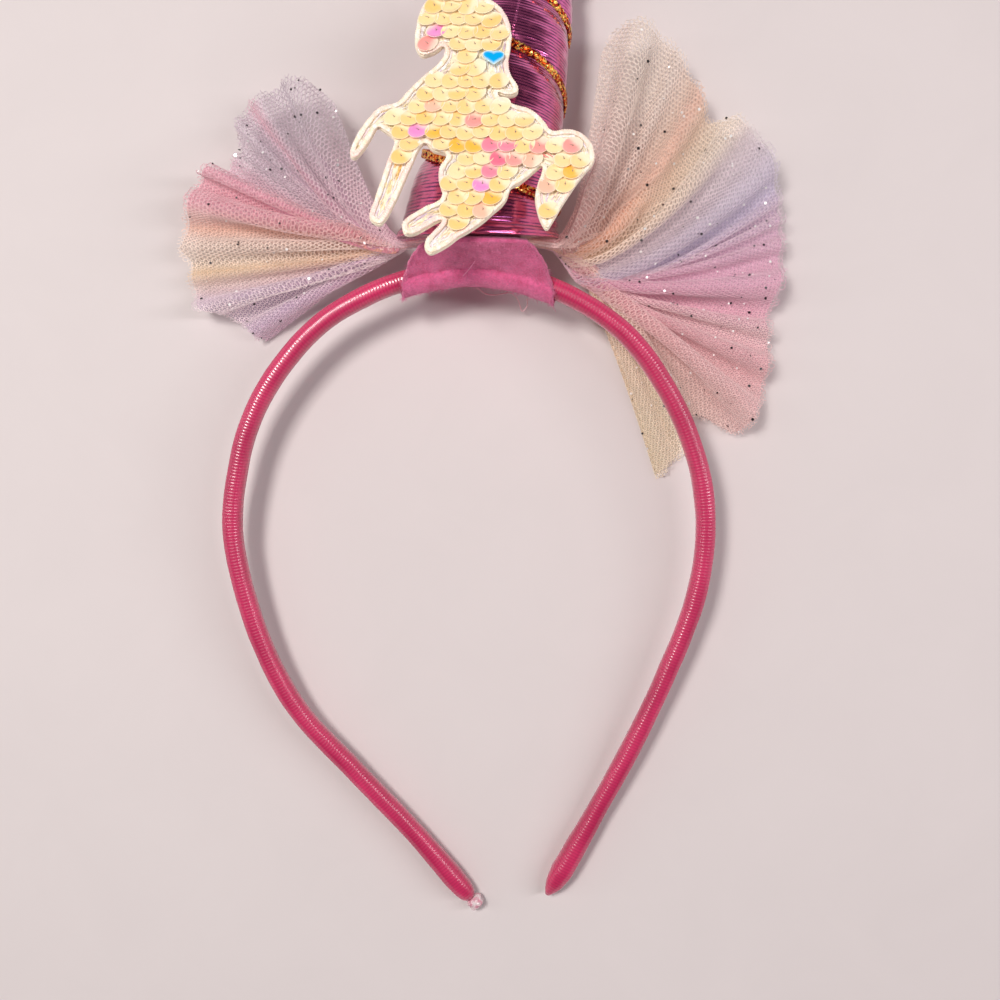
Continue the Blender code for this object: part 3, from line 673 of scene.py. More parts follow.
def felt_finish(smudge: Array) -> bpy.types.Material:
    """Dusty-pink felt with loose fibres and a dark smudge.

    Args:
        smudge: the middle of the smudge.
    """
    made = Finish("felt", {"Roughness": 0.95, "Sheen Weight": 0.5, "Sheen Roughness": 0.5})
    made.shader.inputs["Sheen Tint"].default_value = (1.0, 0.6, 0.75, 1.0)
    clouds = made.noise(made.place(), 420.0, 4.0)
    pink = made.ramp(clouds, (0.3, srgb(200, 78, 122)), (0.7, srgb(222, 108, 154)))
    colour, height = made.fibres(pink, 0.0005, 0.22)
    away = made.add("ShaderNodeVectorMath", operation="DISTANCE")
    made.put(away.inputs[0], made.stretched(made.place(), (0.55, 1.0, 0.4)))
    away.inputs[1].default_value = smudge * (0.55, 1.0, 0.4)
    ragged = made.sum("MULTIPLY", made.noise(made.place(), 900.0, 3.0), 0.0022)
    near = made.sum("SUBTRACT", away.outputs["Value"], ragged)
    stain = made.spread(near, 0.0, 0.0012, (0.75, 0.0))
    made.colour(made.mix(stain, colour, srgb(96, 20, 62)))
    made.relief(height, 0.0003, 0.8)
    return made.material


def net_finish(name: str) -> bpy.types.Material:
    """The tulle's threads, dyed in stripes, with a faint painted glow."""
    # The emission is painted light: the threads glow in their own colour to look lighter.
    made = Finish(name, {"Roughness": 0.55, "Sheen Weight": 0.4, "Emission Strength": 0.2})
    colour, height = made.fibres(made.attribute("tint"), 0.0012, 0.14)
    made.colour(colour)
    made.put(made.shader.inputs["Emission Color"], colour)
    made.relief(height, 0.0001, 0.4)
    return made.material


def haze_finish(name: str) -> bpy.types.Material:
    """The net's deeper layers, seen as a sheer cloth whose holes are too small to draw, with a faint
    painted glow.
    """
    # The emission is painted light: the sheet glows in its own colour to look lighter.
    made = Finish(name, {"Roughness": 0.7, "Sheen Weight": 0.4, "Emission Strength": 0.28})
    colour, _ = made.fibres(made.attribute("tint"), 0.0025, 0.1)
    made.colour(colour)
    made.put(made.shader.inputs["Emission Color"], colour)
    weave = made.add("ShaderNodeTexVoronoi", feature="DISTANCE_TO_EDGE")
    made.put(weave.inputs["Vector"], made.way())
    weave.inputs["Scale"].default_value = 1300.0
    weave.inputs["Randomness"].default_value = 0.25
    holes = made.spread(weave.outputs["Distance"], 0.04, 0.42, (1.3, 0.8))
    cover = made.sum("MULTIPLY", made.attribute("cover", "Fac"), holes)
    made.put(made.shader.inputs["Alpha"], cover)
    return made.material


def cream_felt_finish() -> bpy.types.Material:
    """The patch's pale cloth, with a faint painted glow."""
    # The emission is painted light: a faint glow in the cloth's own colour.
    made = Finish("cream_felt", {"Roughness": 0.9, "Sheen Weight": 0.3, "Emission Strength": 0.04})
    colour, height = made.fibres(srgb(252, 240, 214), 0.0007, 0.1)
    made.colour(colour)
    made.put(made.shader.inputs["Emission Color"], colour)
    made.relief(height, 0.00025, 0.7)
    return made.material


def thread_finish() -> bpy.types.Material:
    """Pale satin-stitch thread, with a faint painted glow."""
    # The emission is painted light: a faint glow in the thread's own colour.
    made = Finish("stitch_thread", {"Roughness": 0.42, "Coat Weight": 0.15, "Emission Strength": 0.05})
    colour, height = made.fibres(made.attribute("tint"), 0.0006, 0.12)
    made.colour(colour)
    made.put(made.shader.inputs["Emission Color"], colour)
    made.relief(height, 0.00012, 0.5)
    return made.material


def sequin_finish() -> bpy.types.Material:
    """Pearly film, each sequin in its own tint with a painted highlight on its rim and one side, and a
    faint painted glow.
    """
    # The emission is painted light: the film glows faintly in its tint, which also holds the painted
    # highlight.
    made = Finish("sequin_film", {"Roughness": 0.24, "Coat Weight": 0.5, "Emission Strength": 0.07})
    made.put(made.shader.inputs["Coat Roughness"], 0.1)
    made.colour(made.attribute("tint"))
    made.put(made.shader.inputs["Emission Color"], made.attribute("tint"))
    return made.material


def heart_finish() -> bpy.types.Material:
    """Glossy blue film with a paler rim."""
    made = Finish("heart_film", {"Roughness": 0.16, "Coat Weight": 0.6, "Coat Roughness": 0.06})
    made.colour(made.attribute("tint"))
    return made.material


def glue_finish() -> bpy.types.Material:
    """Cloudy hot glue."""
    made = Finish("hot_glue", {"Roughness": 0.18, "Transmission Weight": 0.35, "IOR": 1.48})
    clouds = made.noise(made.place(), 900.0, 3.0)
    made.colour(made.ramp(clouds, (0.35, srgb(232, 150, 172)), (0.62, srgb(252, 240, 240))))
    made.relief(clouds, 0.0003, 0.7)
    return made.material


def flake_finish() -> bpy.types.Material:
    """Mirror-bright glitter flakes, their reflections painted into the tint: dark ones a painted dark
    reflection, white ones a painted glint.
    """
    made = Finish("flake", {"Metallic": 0.3, "Roughness": 0.3})
    made.colour(made.attribute("tint"))
    return made.material


def hair_finish(name: str, colour: Colour) -> bpy.types.Material:
    """Loose fibre or thread in one colour with fine specks."""
    made = Finish(name, {"Roughness": 0.6, "Sheen Weight": 0.3})
    speckled, _ = made.fibres(colour, 0.0008, 0.15)
    made.colour(speckled)
    return made.material


def column(rows: Sequence[Sequence[float]], number: int) -> Array:
    """One column of a table."""
    return np.array([row[number] for row in rows])


CORD_TURNS = (
    (-0.35, 0.050), (0.00, 0.063), (0.16, 0.070), (0.50, 0.140), (1.00, 0.266), (1.25, 0.317),
    (1.60, 0.350), (2.00, 0.385), (2.25, 0.435), (3.00, 0.500), (3.25, 0.540), (4.00, 0.597),
    (5.00, 0.682), (6.00, 0.758), (7.00, 0.825), (8.00, 0.884), (8.80, 0.925),
)  # turns round the horn, and the share of its length that the cord has reached


@dataclass(frozen=True)
class HornShape:
    """The stuffed cone's sizes, and where its surface is."""

    length: float = 0.130
    base_radius: float = 0.0179
    tip_radius: float = 0.0033
    standoff: float = 0.0069
    aside: float = 0.0020
    lean: float = math.radians(10.5)
    pressed: float = 0.0008
    slant: float = 0.0050
    slant_reach: float = 0.026
    tip_round: float = 0.0040
    tip_flat: float = 0.14
    pinch: float = 0.0011
    pinch_reach: float = 0.0028
    facet_room: float = 0.0004
    cord_thickness: float = 0.0007
    cord_ease: float = 0.08

    def axes(self) -> tuple[Array, Array, Array]:
        """Along the horn, to its right and to its top."""
        droop = math.asin((self.base_radius - self.tip_radius) / self.length)
        level = np.array([math.sin(self.lean), math.cos(self.lean), 0.0])
        along = level * math.cos(droop) - np.array([0.0, 0.0, math.sin(droop)])
        right = np.array([math.cos(self.lean), -math.sin(self.lean), 0.0])
        return along, right, np.cross(right, along)

    def base(self) -> Array:
        """The middle of the base."""
        height = self.base_radius * self.axes()[2][2] - self.pressed
        return np.array([self.aside, BAND.rise + self.standoff, height]) + SHIFT

    def radius(self, along: Array) -> Array:
        """The cone's radius at distances along it, rounded off at the tip."""
        radius = self.base_radius + (self.tip_radius - self.base_radius) * along / self.length
        left = np.clip((self.length - along) / self.tip_round, 0, 1)
        return radius * np.sqrt(np.maximum(1 - (1 - left) ** 2, self.tip_flat**2))

    def point(self, angle: Array, along: Array, radius: Array) -> Array:
        """Points by angle from the top, distance along the horn and distance from its axis."""
        ahead, right, top = self.axes()
        fading = np.clip(1 - along / self.slant_reach, 0, None) * radius
        drawn = along - fading * np.cos(angle) * self.slant / self.base_radius
        drawn = drawn + fading * np.sin(angle) * math.tan(self.lean)
        ring = right * np.sin(angle)[..., None] + top * np.cos(angle)[..., None]
        return self.base() + ahead * drawn[..., None] + ring * radius[..., None]

    def cord_along(self, turn: Array) -> Array:
        """How far up the horn the cord is after so many turns."""
        turns, shares = column(CORD_TURNS, 0), column(CORD_TURNS, 1)
        spread = (-self.cord_ease, 0.0, self.cord_ease)
        return self.length * sum(np.interp(turn + e, turns, shares) for e in spread) / 3

    def furrow(self, angle: Array, along: Array) -> Array:
        """How strongly the cord draws the horn in, from 0 to 1."""
        first, last = CORD_TURNS[0][0] - self.cord_ease, CORD_TURNS[-1][0] + self.cord_ease
        phase = (0.25 - angle / (2 * math.pi)) % 1.0
        nearest = np.full(np.broadcast(angle, along).shape, np.inf)
        for whole in range(math.floor(first), math.ceil(last) + 1):
            turn = phase + whole
            away = np.abs(along - self.cord_along(turn))
            away = np.where((turn >= first) & (turn <= last), away, np.inf)
            nearest = np.minimum(nearest, away)
        return np.exp(-((nearest / self.pinch_reach) ** 2))

    def face(self, x: Array, z: Array) -> Array:
        """How far along Y the flat base is, at places across and heights."""
        corners = self.point(np.array([0, math.pi / 2, math.pi]), np.zeros(3), np.full(3, self.base_radius))
        normal = np.cross(corners[1] - corners[0], corners[2] - corners[0])
        away = normal[0] * (x - corners[0][0]) + normal[2] * (z - corners[0][2])
        return corners[0][1] - away / normal[1]


HORN = HornShape()

BAND_ROUTE = (
    (0.00, 0.000), (-0.24, 0.107), (-0.50, 0.212), (-0.74, 0.313), (-0.89, 0.426), (-0.98, 0.549),
    (-0.99, 0.640), (-0.92, 0.758), (-0.78, 0.852), (-0.57, 0.930), (-0.27, 0.983), (0.04, 1.000),
    (0.34, 0.973), (0.63, 0.908), (0.83, 0.810), (0.95, 0.705), (0.99, 0.600), (0.95, 0.486),
    (0.83, 0.365), (0.68, 0.243), (0.45, 0.082), (0.33, 0.004),
)  # shares of the half span and of the rise, from the left tip to the right one
BAND_ENDS = (
    (0.00, 0.55, 0.22), (0.05, 0.86, 0.52), (0.14, 1.02, 0.88), (0.30, 1.10, 1.14),
    (0.60, 1.06, 1.12), (1.00, 1.00, 1.00),
)  # the share of the way, and of the section at the left and the right end


@dataclass(frozen=True)
class BandShape:
    """The band's sizes, and its centre line."""

    half_span: float = 0.0552
    rise: float = 0.147
    thickness: float = 0.0047
    depth: float = 0.0058
    crown_lift: float = 0.0138
    end_length: float = 0.022
    step: float = 0.0009

    def line(self) -> tuple[Array, Array]:
        """The centre line from the left tip to the right, and its share of the section."""
        flat = np.array(BAND_ROUTE) * (self.half_span, self.rise)
        line = even_line(smooth_line(flat, 30), self.step)
        way = lengths(line)
        at = column(BAND_ENDS, 0) * self.end_length
        left = np.interp(way, at, column(BAND_ENDS, 1))
        right = np.interp(way[-1] - way, at, column(BAND_ENDS, 2))
        scale = np.where(way < way[-1] / 2, left, right)
        height = self.crown_lift * line[:, 1] / self.rise + self.depth / 2
        height -= (height - self.depth / 2 * scale).min()
        return np.column_stack([line, height]) + SHIFT, scale

    def crown(self, x: Array) -> Array:
        """The centre of the band where it passes places across, near the crown."""
        line, _ = self.line()
        line = line[line[:, 1] > self.rise / 2 + SHIFT[1]]
        return np.stack([np.interp(x, line[:, 0], line[:, k]) for k in range(3)], axis=-1)


BAND = BandShape()


@dataclass
class SatinBand:
    """The arch, wrapped in satin, with the ribbon's seam along its outer side."""

    sides: int = 36
    seam_height: float = 0.00016
    seam_turn: float = -0.62  # round the section from the outer side, towards the surface
    wander: float = 0.00005
    flatness: float = 0.05
    seam_reach: float = 0.16

    def section(self, way: Array, scale: Array) -> Array:
        """The section at each point of the line, as sideways and up."""
        turn = 2 * math.pi * np.arange(self.sides) / self.sides
        seam = (turn + math.pi - self.seam_turn + math.pi) % (2 * math.pi) - math.pi
        ridge = self.seam_height * np.exp(-((seam / self.seam_reach) ** 2))
        flat = 1 - self.flatness * np.cos(2 * turn) ** 4
        ring = oval(self.sides, BAND.thickness / 2, BAND.depth / 2) * flat[:, None]
        ring = ring + unit(ring) * ridge[:, None]
        wavy = 1 + 0.012 * np.sin(way / 0.0041) * np.sin(way / 0.0173 + 1)
        return ring[None] * (scale * wavy)[:, None, None]

    def build(self) -> bpy.types.Object:
        """The swept band."""
        line, scale = BAND.line()
        way = lengths(line)
        tube = sweep(line, np.array([0, 0, 1.0]), self.section(way, scale), radius=BAND.depth / 2)
        points = tube.points.copy()
        points += unit(points - points.mean(axis=0)) * (ripple(points, 0.012) * self.wander)[:, None]
        points[:, 2] = np.maximum(points[:, 2], 0.0)
        made = mesh_piece("satin_band", points, tube.faces, satin_finish(), uv=tube.uv)
        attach(made, "root")
        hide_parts("headband")
        return made


@dataclass
class GlueDab:
    """The dried glue on the end of the left tip."""

    length: float = 0.0030
    width: float = 0.0040
    lumps: float = 0.00025

    def build(self) -> bpy.types.Object:
        """A ball pulled into an uneven dab."""
        line, scale = BAND.line()
        outward = unit(line[0] - line[6])
        middle = line[0] + outward * (self.length / 2 + CLEARANCE / 2)
        deselect()
        bpy.ops.mesh.primitive_uv_sphere_add(segments=40, ring_count=24, radius=0.5)
        made = bpy.context.active_object
        made.name = "glue_lump"
        bpy.ops.object.mode_set(mode="EDIT")
        bpy.ops.mesh.select_all(action="SELECT")
        size = (self.width, self.length * 1.15, BAND.depth * scale[0] * 1.05)
        bpy.ops.transform.resize(value=size, center_override=(0, 0, 0))
        bpy.ops.object.mode_set(mode="OBJECT")
        turn = math.atan2(-outward[0], outward[1])
        across = np.array([math.cos(turn), math.sin(turn), 0.0])
        points = np.array([corner.co for corner in made.data.vertices])
        points += unit(points) * (ripple(points, 0.0022, 3) * self.lumps)[:, None]
        points = points[:, :1] * across + points[:, 1:2] * outward + points[:, 2:] * (0, 0, 1)
        points += middle
        points[:, 2] = np.maximum(points[:, 2], 0.0004)
        made.data.vertices.foreach_set("co", points.ravel().astype(np.float32))
        made.data.materials.append(glue_finish())
        made.data.shade_smooth()
        made.data.update()
        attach(made, "root")
        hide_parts("glue_dab")
        return made


@dataclass
class StuffedHorn:
    """The sewn cone, drawn in under the cord, with a rolled hem at its base."""

    rings: int = 420
    sides: int = 132
    hem_way: float = 0.0026
    hem_depth: float = 0.00045
    roll_way: float = 0.0012
    roll_height: float = 0.00025
    dents: float = 0.00028
    wrinkles: float = 0.00013

    def build(self) -> bpy.types.Object:
        """The lofted cone with its dents, closed at both ends."""
        along = np.linspace(0, HORN.length, self.rings)[:, None]
        angle = 2 * math.pi * (np.arange(self.sides) / self.sides)[None, :]
        along, angle = np.broadcast_arrays(along, angle)
        furrow = HORN.furrow(angle, along)
        radius = HORN.radius(along) - HORN.pinch * furrow
        surface = np.stack([angle * HORN.base_radius, along, 0 * along], axis=-1)
        around = np.stack([np.cos(angle) * 0.012, np.sin(angle) * 0.012, along], axis=-1)
        fine = np.stack([np.cos(angle) * 0.003, np.sin(angle) * 0.003, along], axis=-1)
        easing = np.clip(along / 0.01, 0, 1)
        radius = radius + self.dents * ripple(around, 0.016, 1) * easing
        radius = radius + self.wrinkles * ripple(fine, 0.0042, 2)
        hem = np.exp(-(((along - self.hem_way) / 0.0006) ** 2))
        roll = np.exp(-(((along - self.roll_way) / 0.0009) ** 2))
        radius = radius - self.hem_depth * hem + self.roll_height * roll
        points = HORN.point(angle, along, radius)
        under_cord = HORN.cord_thickness + 4 * CLEARANCE + HORN.facet_room
        points[..., 2] = np.maximum(points[..., 2], under_cord * furrow)
        uv = np.stack([surface[..., 1], surface[..., 0]], axis=-1).reshape(-1, 2)
        ends = np.stack([points[0].mean(axis=0), points[-1].mean(axis=0)])
        faces = triangles(grid_faces(self.rings, self.sides, ring=True))
        corners = points.reshape(-1, 3)
        first, last = len(corners), (self.rings - 1) * self.sides
        caps = [cap_faces(0, self.sides, first, True), cap_faces(last, self.sides, first + 1, False)]
        faces = np.concatenate([faces, *caps])[:, ::-1]
        corners = np.concatenate([corners, ends])
        uv = np.concatenate([uv, [[0.0, 0.0], [HORN.length, 0.0]]])
        made = mesh_piece("stuffed_horn", corners, faces, lame_finish(), uv=uv)
        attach(made, "root")
        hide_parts("horn")
        return made


@dataclass
class GlitterCord:
    """The flat cord round the horn: three strands, plaited."""

    strands: int = 3
    strand_radius: float = 0.00040
    swing: float = 0.00066
    plait: float = 0.0040
    lift: float = 0.00012
    step: float = 0.00035

    def build(self) -> bpy.types.Object:
        """Three tubes that change places as they go round."""
        first, last = CORD_TURNS[0][0], CORD_TURNS[-1][0]
        turns = np.linspace(first, last, 4000)
        angle = 2 * math.pi * (0.25 - turns)
        along = HORN.cord_along(turns)
        raised = HORN.radius(along) - HORN.pinch + CLEARANCE + HORN.facet_room
        line = HORN.point(angle, along, raised + HORN.cord_thickness / 2)
        out = unit(line - HORN.point(angle, along, raised - 0.002))
        even = even_line(np.column_stack([line, out]), self.step)
        line, out = even[:, :3], unit(even[:, 3:])
        way = lengths(line)
        side = unit(np.cross(directions(line), out))
        tubes = []
        for k in range(self.strands):
            phase = 2 * math.pi * (way / self.plait + k / self.strands)
            path = line + side * (self.swing * np.sin(phase))[:, None]
            path = path + out * (self.lift * np.sin(2 * phase))[:, None]
            path[:, 2] = np.maximum(path[:, 2], self.strand_radius)
            tubes.append(sweep(path, out, oval(6, self.strand_radius, self.strand_radius * 0.8)))
        tube = joined(tubes)
        made = mesh_piece("glitter_cord", tube.points, tube.faces, glitter_finish(), smooth=False)
        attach(made, "root")
        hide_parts("horn_cord")
        return made


@dataclass
class FeltBase:
    """The felt oval, folded over the crown, with its fuzz."""

    thickness: float = 0.0012
    half_width: float = 0.0172
    end_share: float = 0.62
    inside_rim: float = 0.0016
    rows: int = 64
    columns: int = 72
    hairs: int = 5200
    hair_lengths: tuple[float, float] = (0.0004, 0.0011)
    hair_width: float = 0.000035
    smudge: tuple[float, float, float] = (455, 266, 0.027)  # the picture's pixels, and the height

    def section(self, x: float) -> Array:
        """The felt's line at a place across: the horn's upper rim, the fold, the lower rim."""
        base = HORN.base()
        centre = BAND.crown(np.array([x]))[0]
        across = BAND.thickness / 2 + CLEARANCE + self.thickness / 2
        deep = BAND.depth / 2 + CLEARANCE + self.thickness / 2
        rim = HORN.base_radius - self.inside_rim
        aside = min(abs(x - base[0]), self.half_width * self.end_share)
        reach = math.sqrt(rim**2 - aside**2)
        ends = []
        for side in (1, -1):
            height = base[2] + side * reach
            face = HORN.face(x, height) - CLEARANCE - self.thickness / 2
            ends.append(np.array([x, face, max(height, self.thickness)]))
        turn = np.linspace(0, math.pi, 9)
        fold = np.stack([0 * turn, -across * np.sin(turn), deep * np.cos(turn)], axis=-1) + centre
        upper, lower = (ends[0] + fold[0]) / 2, (ends[1] + fold[-1]) / 2
        line = np.concatenate([[ends[0], upper], fold, [lower, ends[1]]])
        return even_line(smooth_line(line, 8), 0.00001 + lengths(line)[-1] / (self.rows - 1))

    def surface(self) -> Array:
        """The middle of the felt, rows down the section by columns across."""
        middle = HORN.base()[0]
        places = middle + np.linspace(-1, 1, 81) * (self.half_width + 0.0004)
        sections = [self.section(x) for x in places]
        count = min(len(s) for s in sections)
        table = np.stack([s[:count] for s in sections])
        down = np.linspace(-1, 1, count)
        width = self.half_width * np.sqrt(1 - (1 - self.end_share**2) * down**2)
        across = np.linspace(-1, 1, self.columns)
        rough = ripple(np.stack([down * 0.03, 0 * down, 0 * down], axis=-1), 0.004, 5) * 0.0003
        x = middle + across[None, :] * (width + rough)[:, None]
        points = np.empty((count, self.columns, 3))
        for row in range(count):
            for k in range(3):
                points[row, :, k] = np.interp(x[row], places, table[:, row, k])
        points[..., 0] = x
        return points

    def build(self) -> bpy.types.Object:
        """The folded sheet with its wall, then its fuzz."""
        points = self.surface()
        rows = points.shape[0]
        lift = ripple(points, 0.007, 6) * 0.00012 + ripple(points, 0.0022, 7) * 0.00005
        down, across = np.gradient(points, axis=(0, 1))
        normal = unit(np.cross(across, down))
        points = points + normal * lift[..., None]
        finish = felt_finish(VIEW.place(*self.smudge))
        made = mesh_piece("folded_felt", points, grid_faces(rows, self.columns), finish)
        wall = made.modifiers.new("wall", "SOLIDIFY")
        wall.thickness = self.thickness
        wall.offset = 0.0
        wall.use_rim = True
        select_only(made)
        bpy.ops.object.modifier_apply(modifier=wall.name)
        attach(made, "root")
        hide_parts("felt_base")
        self.fuzz(points, normal)
        return made

    def fuzz(self, points: Array, normal: Array) -> bpy.types.Object:
        """Short loose fibres over the felt and along its cut edges."""
        random = np.random.default_rng(SEED)
        rows, columns = points.shape[:2]
        edge = random.random(self.hairs) < 0.3
        row = random.uniform(0, rows - 1.001, self.hairs)
        spot = random.uniform(0, columns - 1.001, self.hairs)
        spot = np.where(edge, np.where(random.random(self.hairs) < 0.5, 0.0, columns - 1.001), spot)
        low, left = row.astype(int), spot.astype(int)
        a, b = (row - low)[:, None], (spot - left)[:, None]
        start = points[low, left] * (1 - a) * (1 - b) + points[low + 1, left] * a * (1 - b)
        start += points[low, left + 1] * (1 - a) * b + points[low + 1, left + 1] * a * b
        out = normal[low, left]
        outside = np.where(out @ np.array([0, -0.4, 1.0]) > 0, 1.0, -1.0)[:, None]
        start = start + out * outside * self.thickness * 0.46
        away = out * outside
        stands = random.uniform(0.1, 0.6, (self.hairs, 1))
        way = unit(away * stands + unit(random.normal(size=(self.hairs, 3))))
        flip = np.sign(np.einsum("nk,nk->n", way, away))[:, None]
        way = way - away * np.minimum(np.einsum("nk,nk->n", way, away), 0)[:, None] * 2
        size = random.uniform(*self.hair_lengths, (self.hairs, 1)) * np.abs(flip)
        bend = unit(random.normal(size=(self.hairs, 3))) * size * 0.4
        steps = [start, start + way * size * 0.5 + bend * 0.5, start + way * size + bend]
        finish = hair_finish("felt_fibre", srgb(206, 112, 150))
        made = strips("felt_fuzz", steps, self.hair_width, finish)
        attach(made, "root")
        return made


def strips(
    name: str, steps: Sequence[Array], width: float, finish: bpy.types.Material
) -> bpy.types.Object:
    """Many thin flat fibres, each through the same number of points.

    Args:
        name: the piece's name.
        steps: the fibres' first points, their second points and so on.
        width: a fibre's half width.
        finish: their material.

    Returns:
        One object of all the fibres.
    """
    lines = np.stack(steps, axis=1)
    way = unit(np.gradient(lines, axis=1))
    side = unit(np.cross(way, np.array([0.3, 0.2, 1.0]))) * width
    taper = np.linspace(1, 0.4, lines.shape[1])[None, :, None]
    corners = np.stack([lines - side * taper, lines + side * taper], axis=2)
    each = grid_faces(lines.shape[1], 2)
    faces = each[None] + np.arange(len(lines))[:, None, None] * lines.shape[1] * 2
    return mesh_piece(name, corners.reshape(-1, 3), faces.reshape(-1, 4), finish)


LEFT_RIM = (
    (117.0, 0.69, 0.95), (118.6, 0.765, 0.92), (120.8, 0.825, 0.88), (125.4, 0.88, 0.75),
    (132.8, 0.9, 0.60), (139.0, 0.93, 0.55), (143.9, 0.89, 0.50), (147.8, 0.84, 0.52),
    (153.4, 0.85, 0.62), (157.5, 0.915, 0.78), (164.0, 0.945, 0.72), (168.7, 0.945, 0.60),
    (174.2, 0.955, 0.55), (179.0, 0.975, 0.50), (181.9, 0.935, 0.45), (188.5, 0.935, 0.40),
    (195.0, 0.925, 0.35), (197.5, 0.835, 0.32), (203.1, 0.77, 0.30), (208.0, 0.75, 0.28),
    (211.0, 0.72, 0.26),
)  # bearing in degrees, share of the reach, share of the lift
RIGHT_RIM = (
    (75.0, 0.85, 0.95), (73.5, 0.955, 0.92), (70.1, 1.025, 0.88), (65.8, 1.02, 0.78),
    (59.4, 1.025, 0.70), (53.5, 0.99, 0.65), (46.2, 0.92, 0.60), (39.7, 0.87, 0.55),
    (36.8, 0.93, 0.55), (33.2, 0.975, 0.62), (28.4, 1.0, 0.65), (22.2, 1.015, 0.60),
    (14.5, 1.005, 0.55), (3.0, 0.99, 0.50), (-10.7, 0.977, 0.45), (-18.0, 0.96, 0.42),
    (-24.0, 1.01, 0.40), (-32.0, 1.06, 0.36), (-40.0, 1.12, 0.34), (-43.0, 1.1, 0.32),
    (-46.5, 0.92, 0.28), (-50.0, 0.9, 0.26), (-54.0, 1.01, 0.24), (-60.0, 1.04, 0.22),
    (-64.5, 1.05, 0.20),
)


class Stripe(NamedTuple):
    """A dyed stripe of the tulle, from the gather to the rim."""

    bearing: float
    rim: Colour
    gather: Colour
    cover: float  # how closed the deeper layers look at the rim, from 0 to 1
    holes: float  # how much painted shade darkens the net's holes against its threads, from 0 to 1


LEFT_STRIPES = (
    Stripe(117, srgb(206, 182, 200), srgb(214, 130, 160), 0.26, 0.0),
    Stripe(128, srgb(203, 182, 202), srgb(214, 128, 158), 0.28, 0.0),
    Stripe(134, srgb(204, 180, 200), srgb(216, 120, 150), 0.32, 0.0),
    Stripe(137, srgb(220, 150, 176), srgb(220, 116, 144), 0.58, 0.0),
    Stripe(140, srgb(204, 180, 202), srgb(216, 122, 150), 0.34, 0.0),
    Stripe(149, srgb(204, 178, 198), srgb(216, 124, 148), 0.40, 0.0),
    Stripe(154, srgb(214, 154, 178), srgb(220, 116, 138), 0.66, 0.0),
    Stripe(158, srgb(226, 146, 168), srgb(222, 112, 130), 0.88, 0.0),
    Stripe(166, srgb(226, 144, 164), srgb(222, 110, 124), 0.86, 0.1),
    Stripe(170, srgb(226, 158, 152), srgb(222, 118, 112), 0.80, 0.4),
    Stripe(173, srgb(230, 170, 142), srgb(224, 128, 104), 0.84, 0.1),
    Stripe(176, srgb(228, 190, 168), srgb(216, 136, 106), 0.70, 0.8),
    Stripe(182, srgb(230, 204, 176), srgb(222, 142, 104), 0.60, 0.9),
    Stripe(185, srgb(232, 196, 146), srgb(226, 154, 100), 0.86, 0.1),
    Stripe(189, srgb(218, 188, 180), srgb(208, 136, 132), 0.72, 0.1),
    Stripe(193, srgb(216, 188, 210), srgb(190, 126, 166), 0.80, 0.1),
    Stripe(196, srgb(202, 172, 202), srgb(178, 108, 158), 0.66, 0.8),
    Stripe(202, srgb(202, 170, 204), srgb(180, 104, 156), 0.62, 0.7),
    Stripe(206, srgb(204, 170, 204), srgb(194, 104, 150), 0.64, 0.1),
    Stripe(211, srgb(212, 164, 192), srgb(206, 90, 134), 0.56, 0.1),
)
RIGHT_STRIPES = (
    Stripe(75, srgb(226, 204, 190), srgb(196, 96, 104), 0.42, 0.1),
    Stripe(66, srgb(226, 208, 190), srgb(204, 108, 104), 0.46, 0.1),
    Stripe(56, srgb(224, 202, 186), srgb(208, 116, 104), 0.54, 0.3),
    Stripe(50, srgb(226, 194, 172), srgb(222, 130, 92), 0.66, 0.1),
    Stripe(46, srgb(230, 178, 150), srgb(228, 140, 80), 0.80, 0.0),
    Stripe(41, srgb(228, 194, 160), srgb(230, 154, 84), 0.70, 0.1),
    Stripe(36, srgb(230, 212, 184), srgb(230, 162, 96), 0.56, 0.6),
    Stripe(33, srgb(228, 208, 184), srgb(222, 160, 110), 0.56, 0.5),
    Stripe(29, srgb(214, 196, 202), srgb(190, 146, 150), 0.60, 0.0),
    Stripe(21, srgb(204, 190, 210), srgb(176, 136, 166), 0.62, 0.0),
    Stripe(13, srgb(192, 180, 212), srgb(172, 130, 180), 0.78, 0.1),
    Stripe(8, srgb(206, 166, 202), srgb(186, 110, 164), 0.76, 0.4),
    Stripe(2, srgb(216, 160, 192), srgb(200, 96, 146), 0.82, 0.1),
    Stripe(-8, srgb(218, 152, 184), srgb(204, 84, 136), 0.86, 0.0),
    Stripe(-17, srgb(220, 148, 174), srgb(206, 76, 126), 0.84, 0.1),
    Stripe(-22, srgb(222, 162, 176), srgb(206, 82, 122), 0.70, 0.5),
    Stripe(-28, srgb(220, 150, 162), srgb(206, 84, 120), 0.82, 0.1),
    Stripe(-38, srgb(222, 164, 166), srgb(210, 100, 120), 0.74, 0.1),
    Stripe(-46, srgb(224, 184, 172), srgb(214, 118, 124), 0.60, 0.1),
    Stripe(-54, srgb(226, 204, 170), srgb(222, 150, 126), 0.56, 0.3),
    Stripe(-64.5, srgb(228, 206, 166), srgb(224, 160, 120), 0.60, 0.1),
)


class FoldedCloth(NamedTuple):
    """How the cloth of a fan is folded, at steps along it and across it."""

    share: Array  # across the fan, 0 to 1
    height: Array  # out of the fan's surface
    rim_share: Array  # where each place across reaches the rim


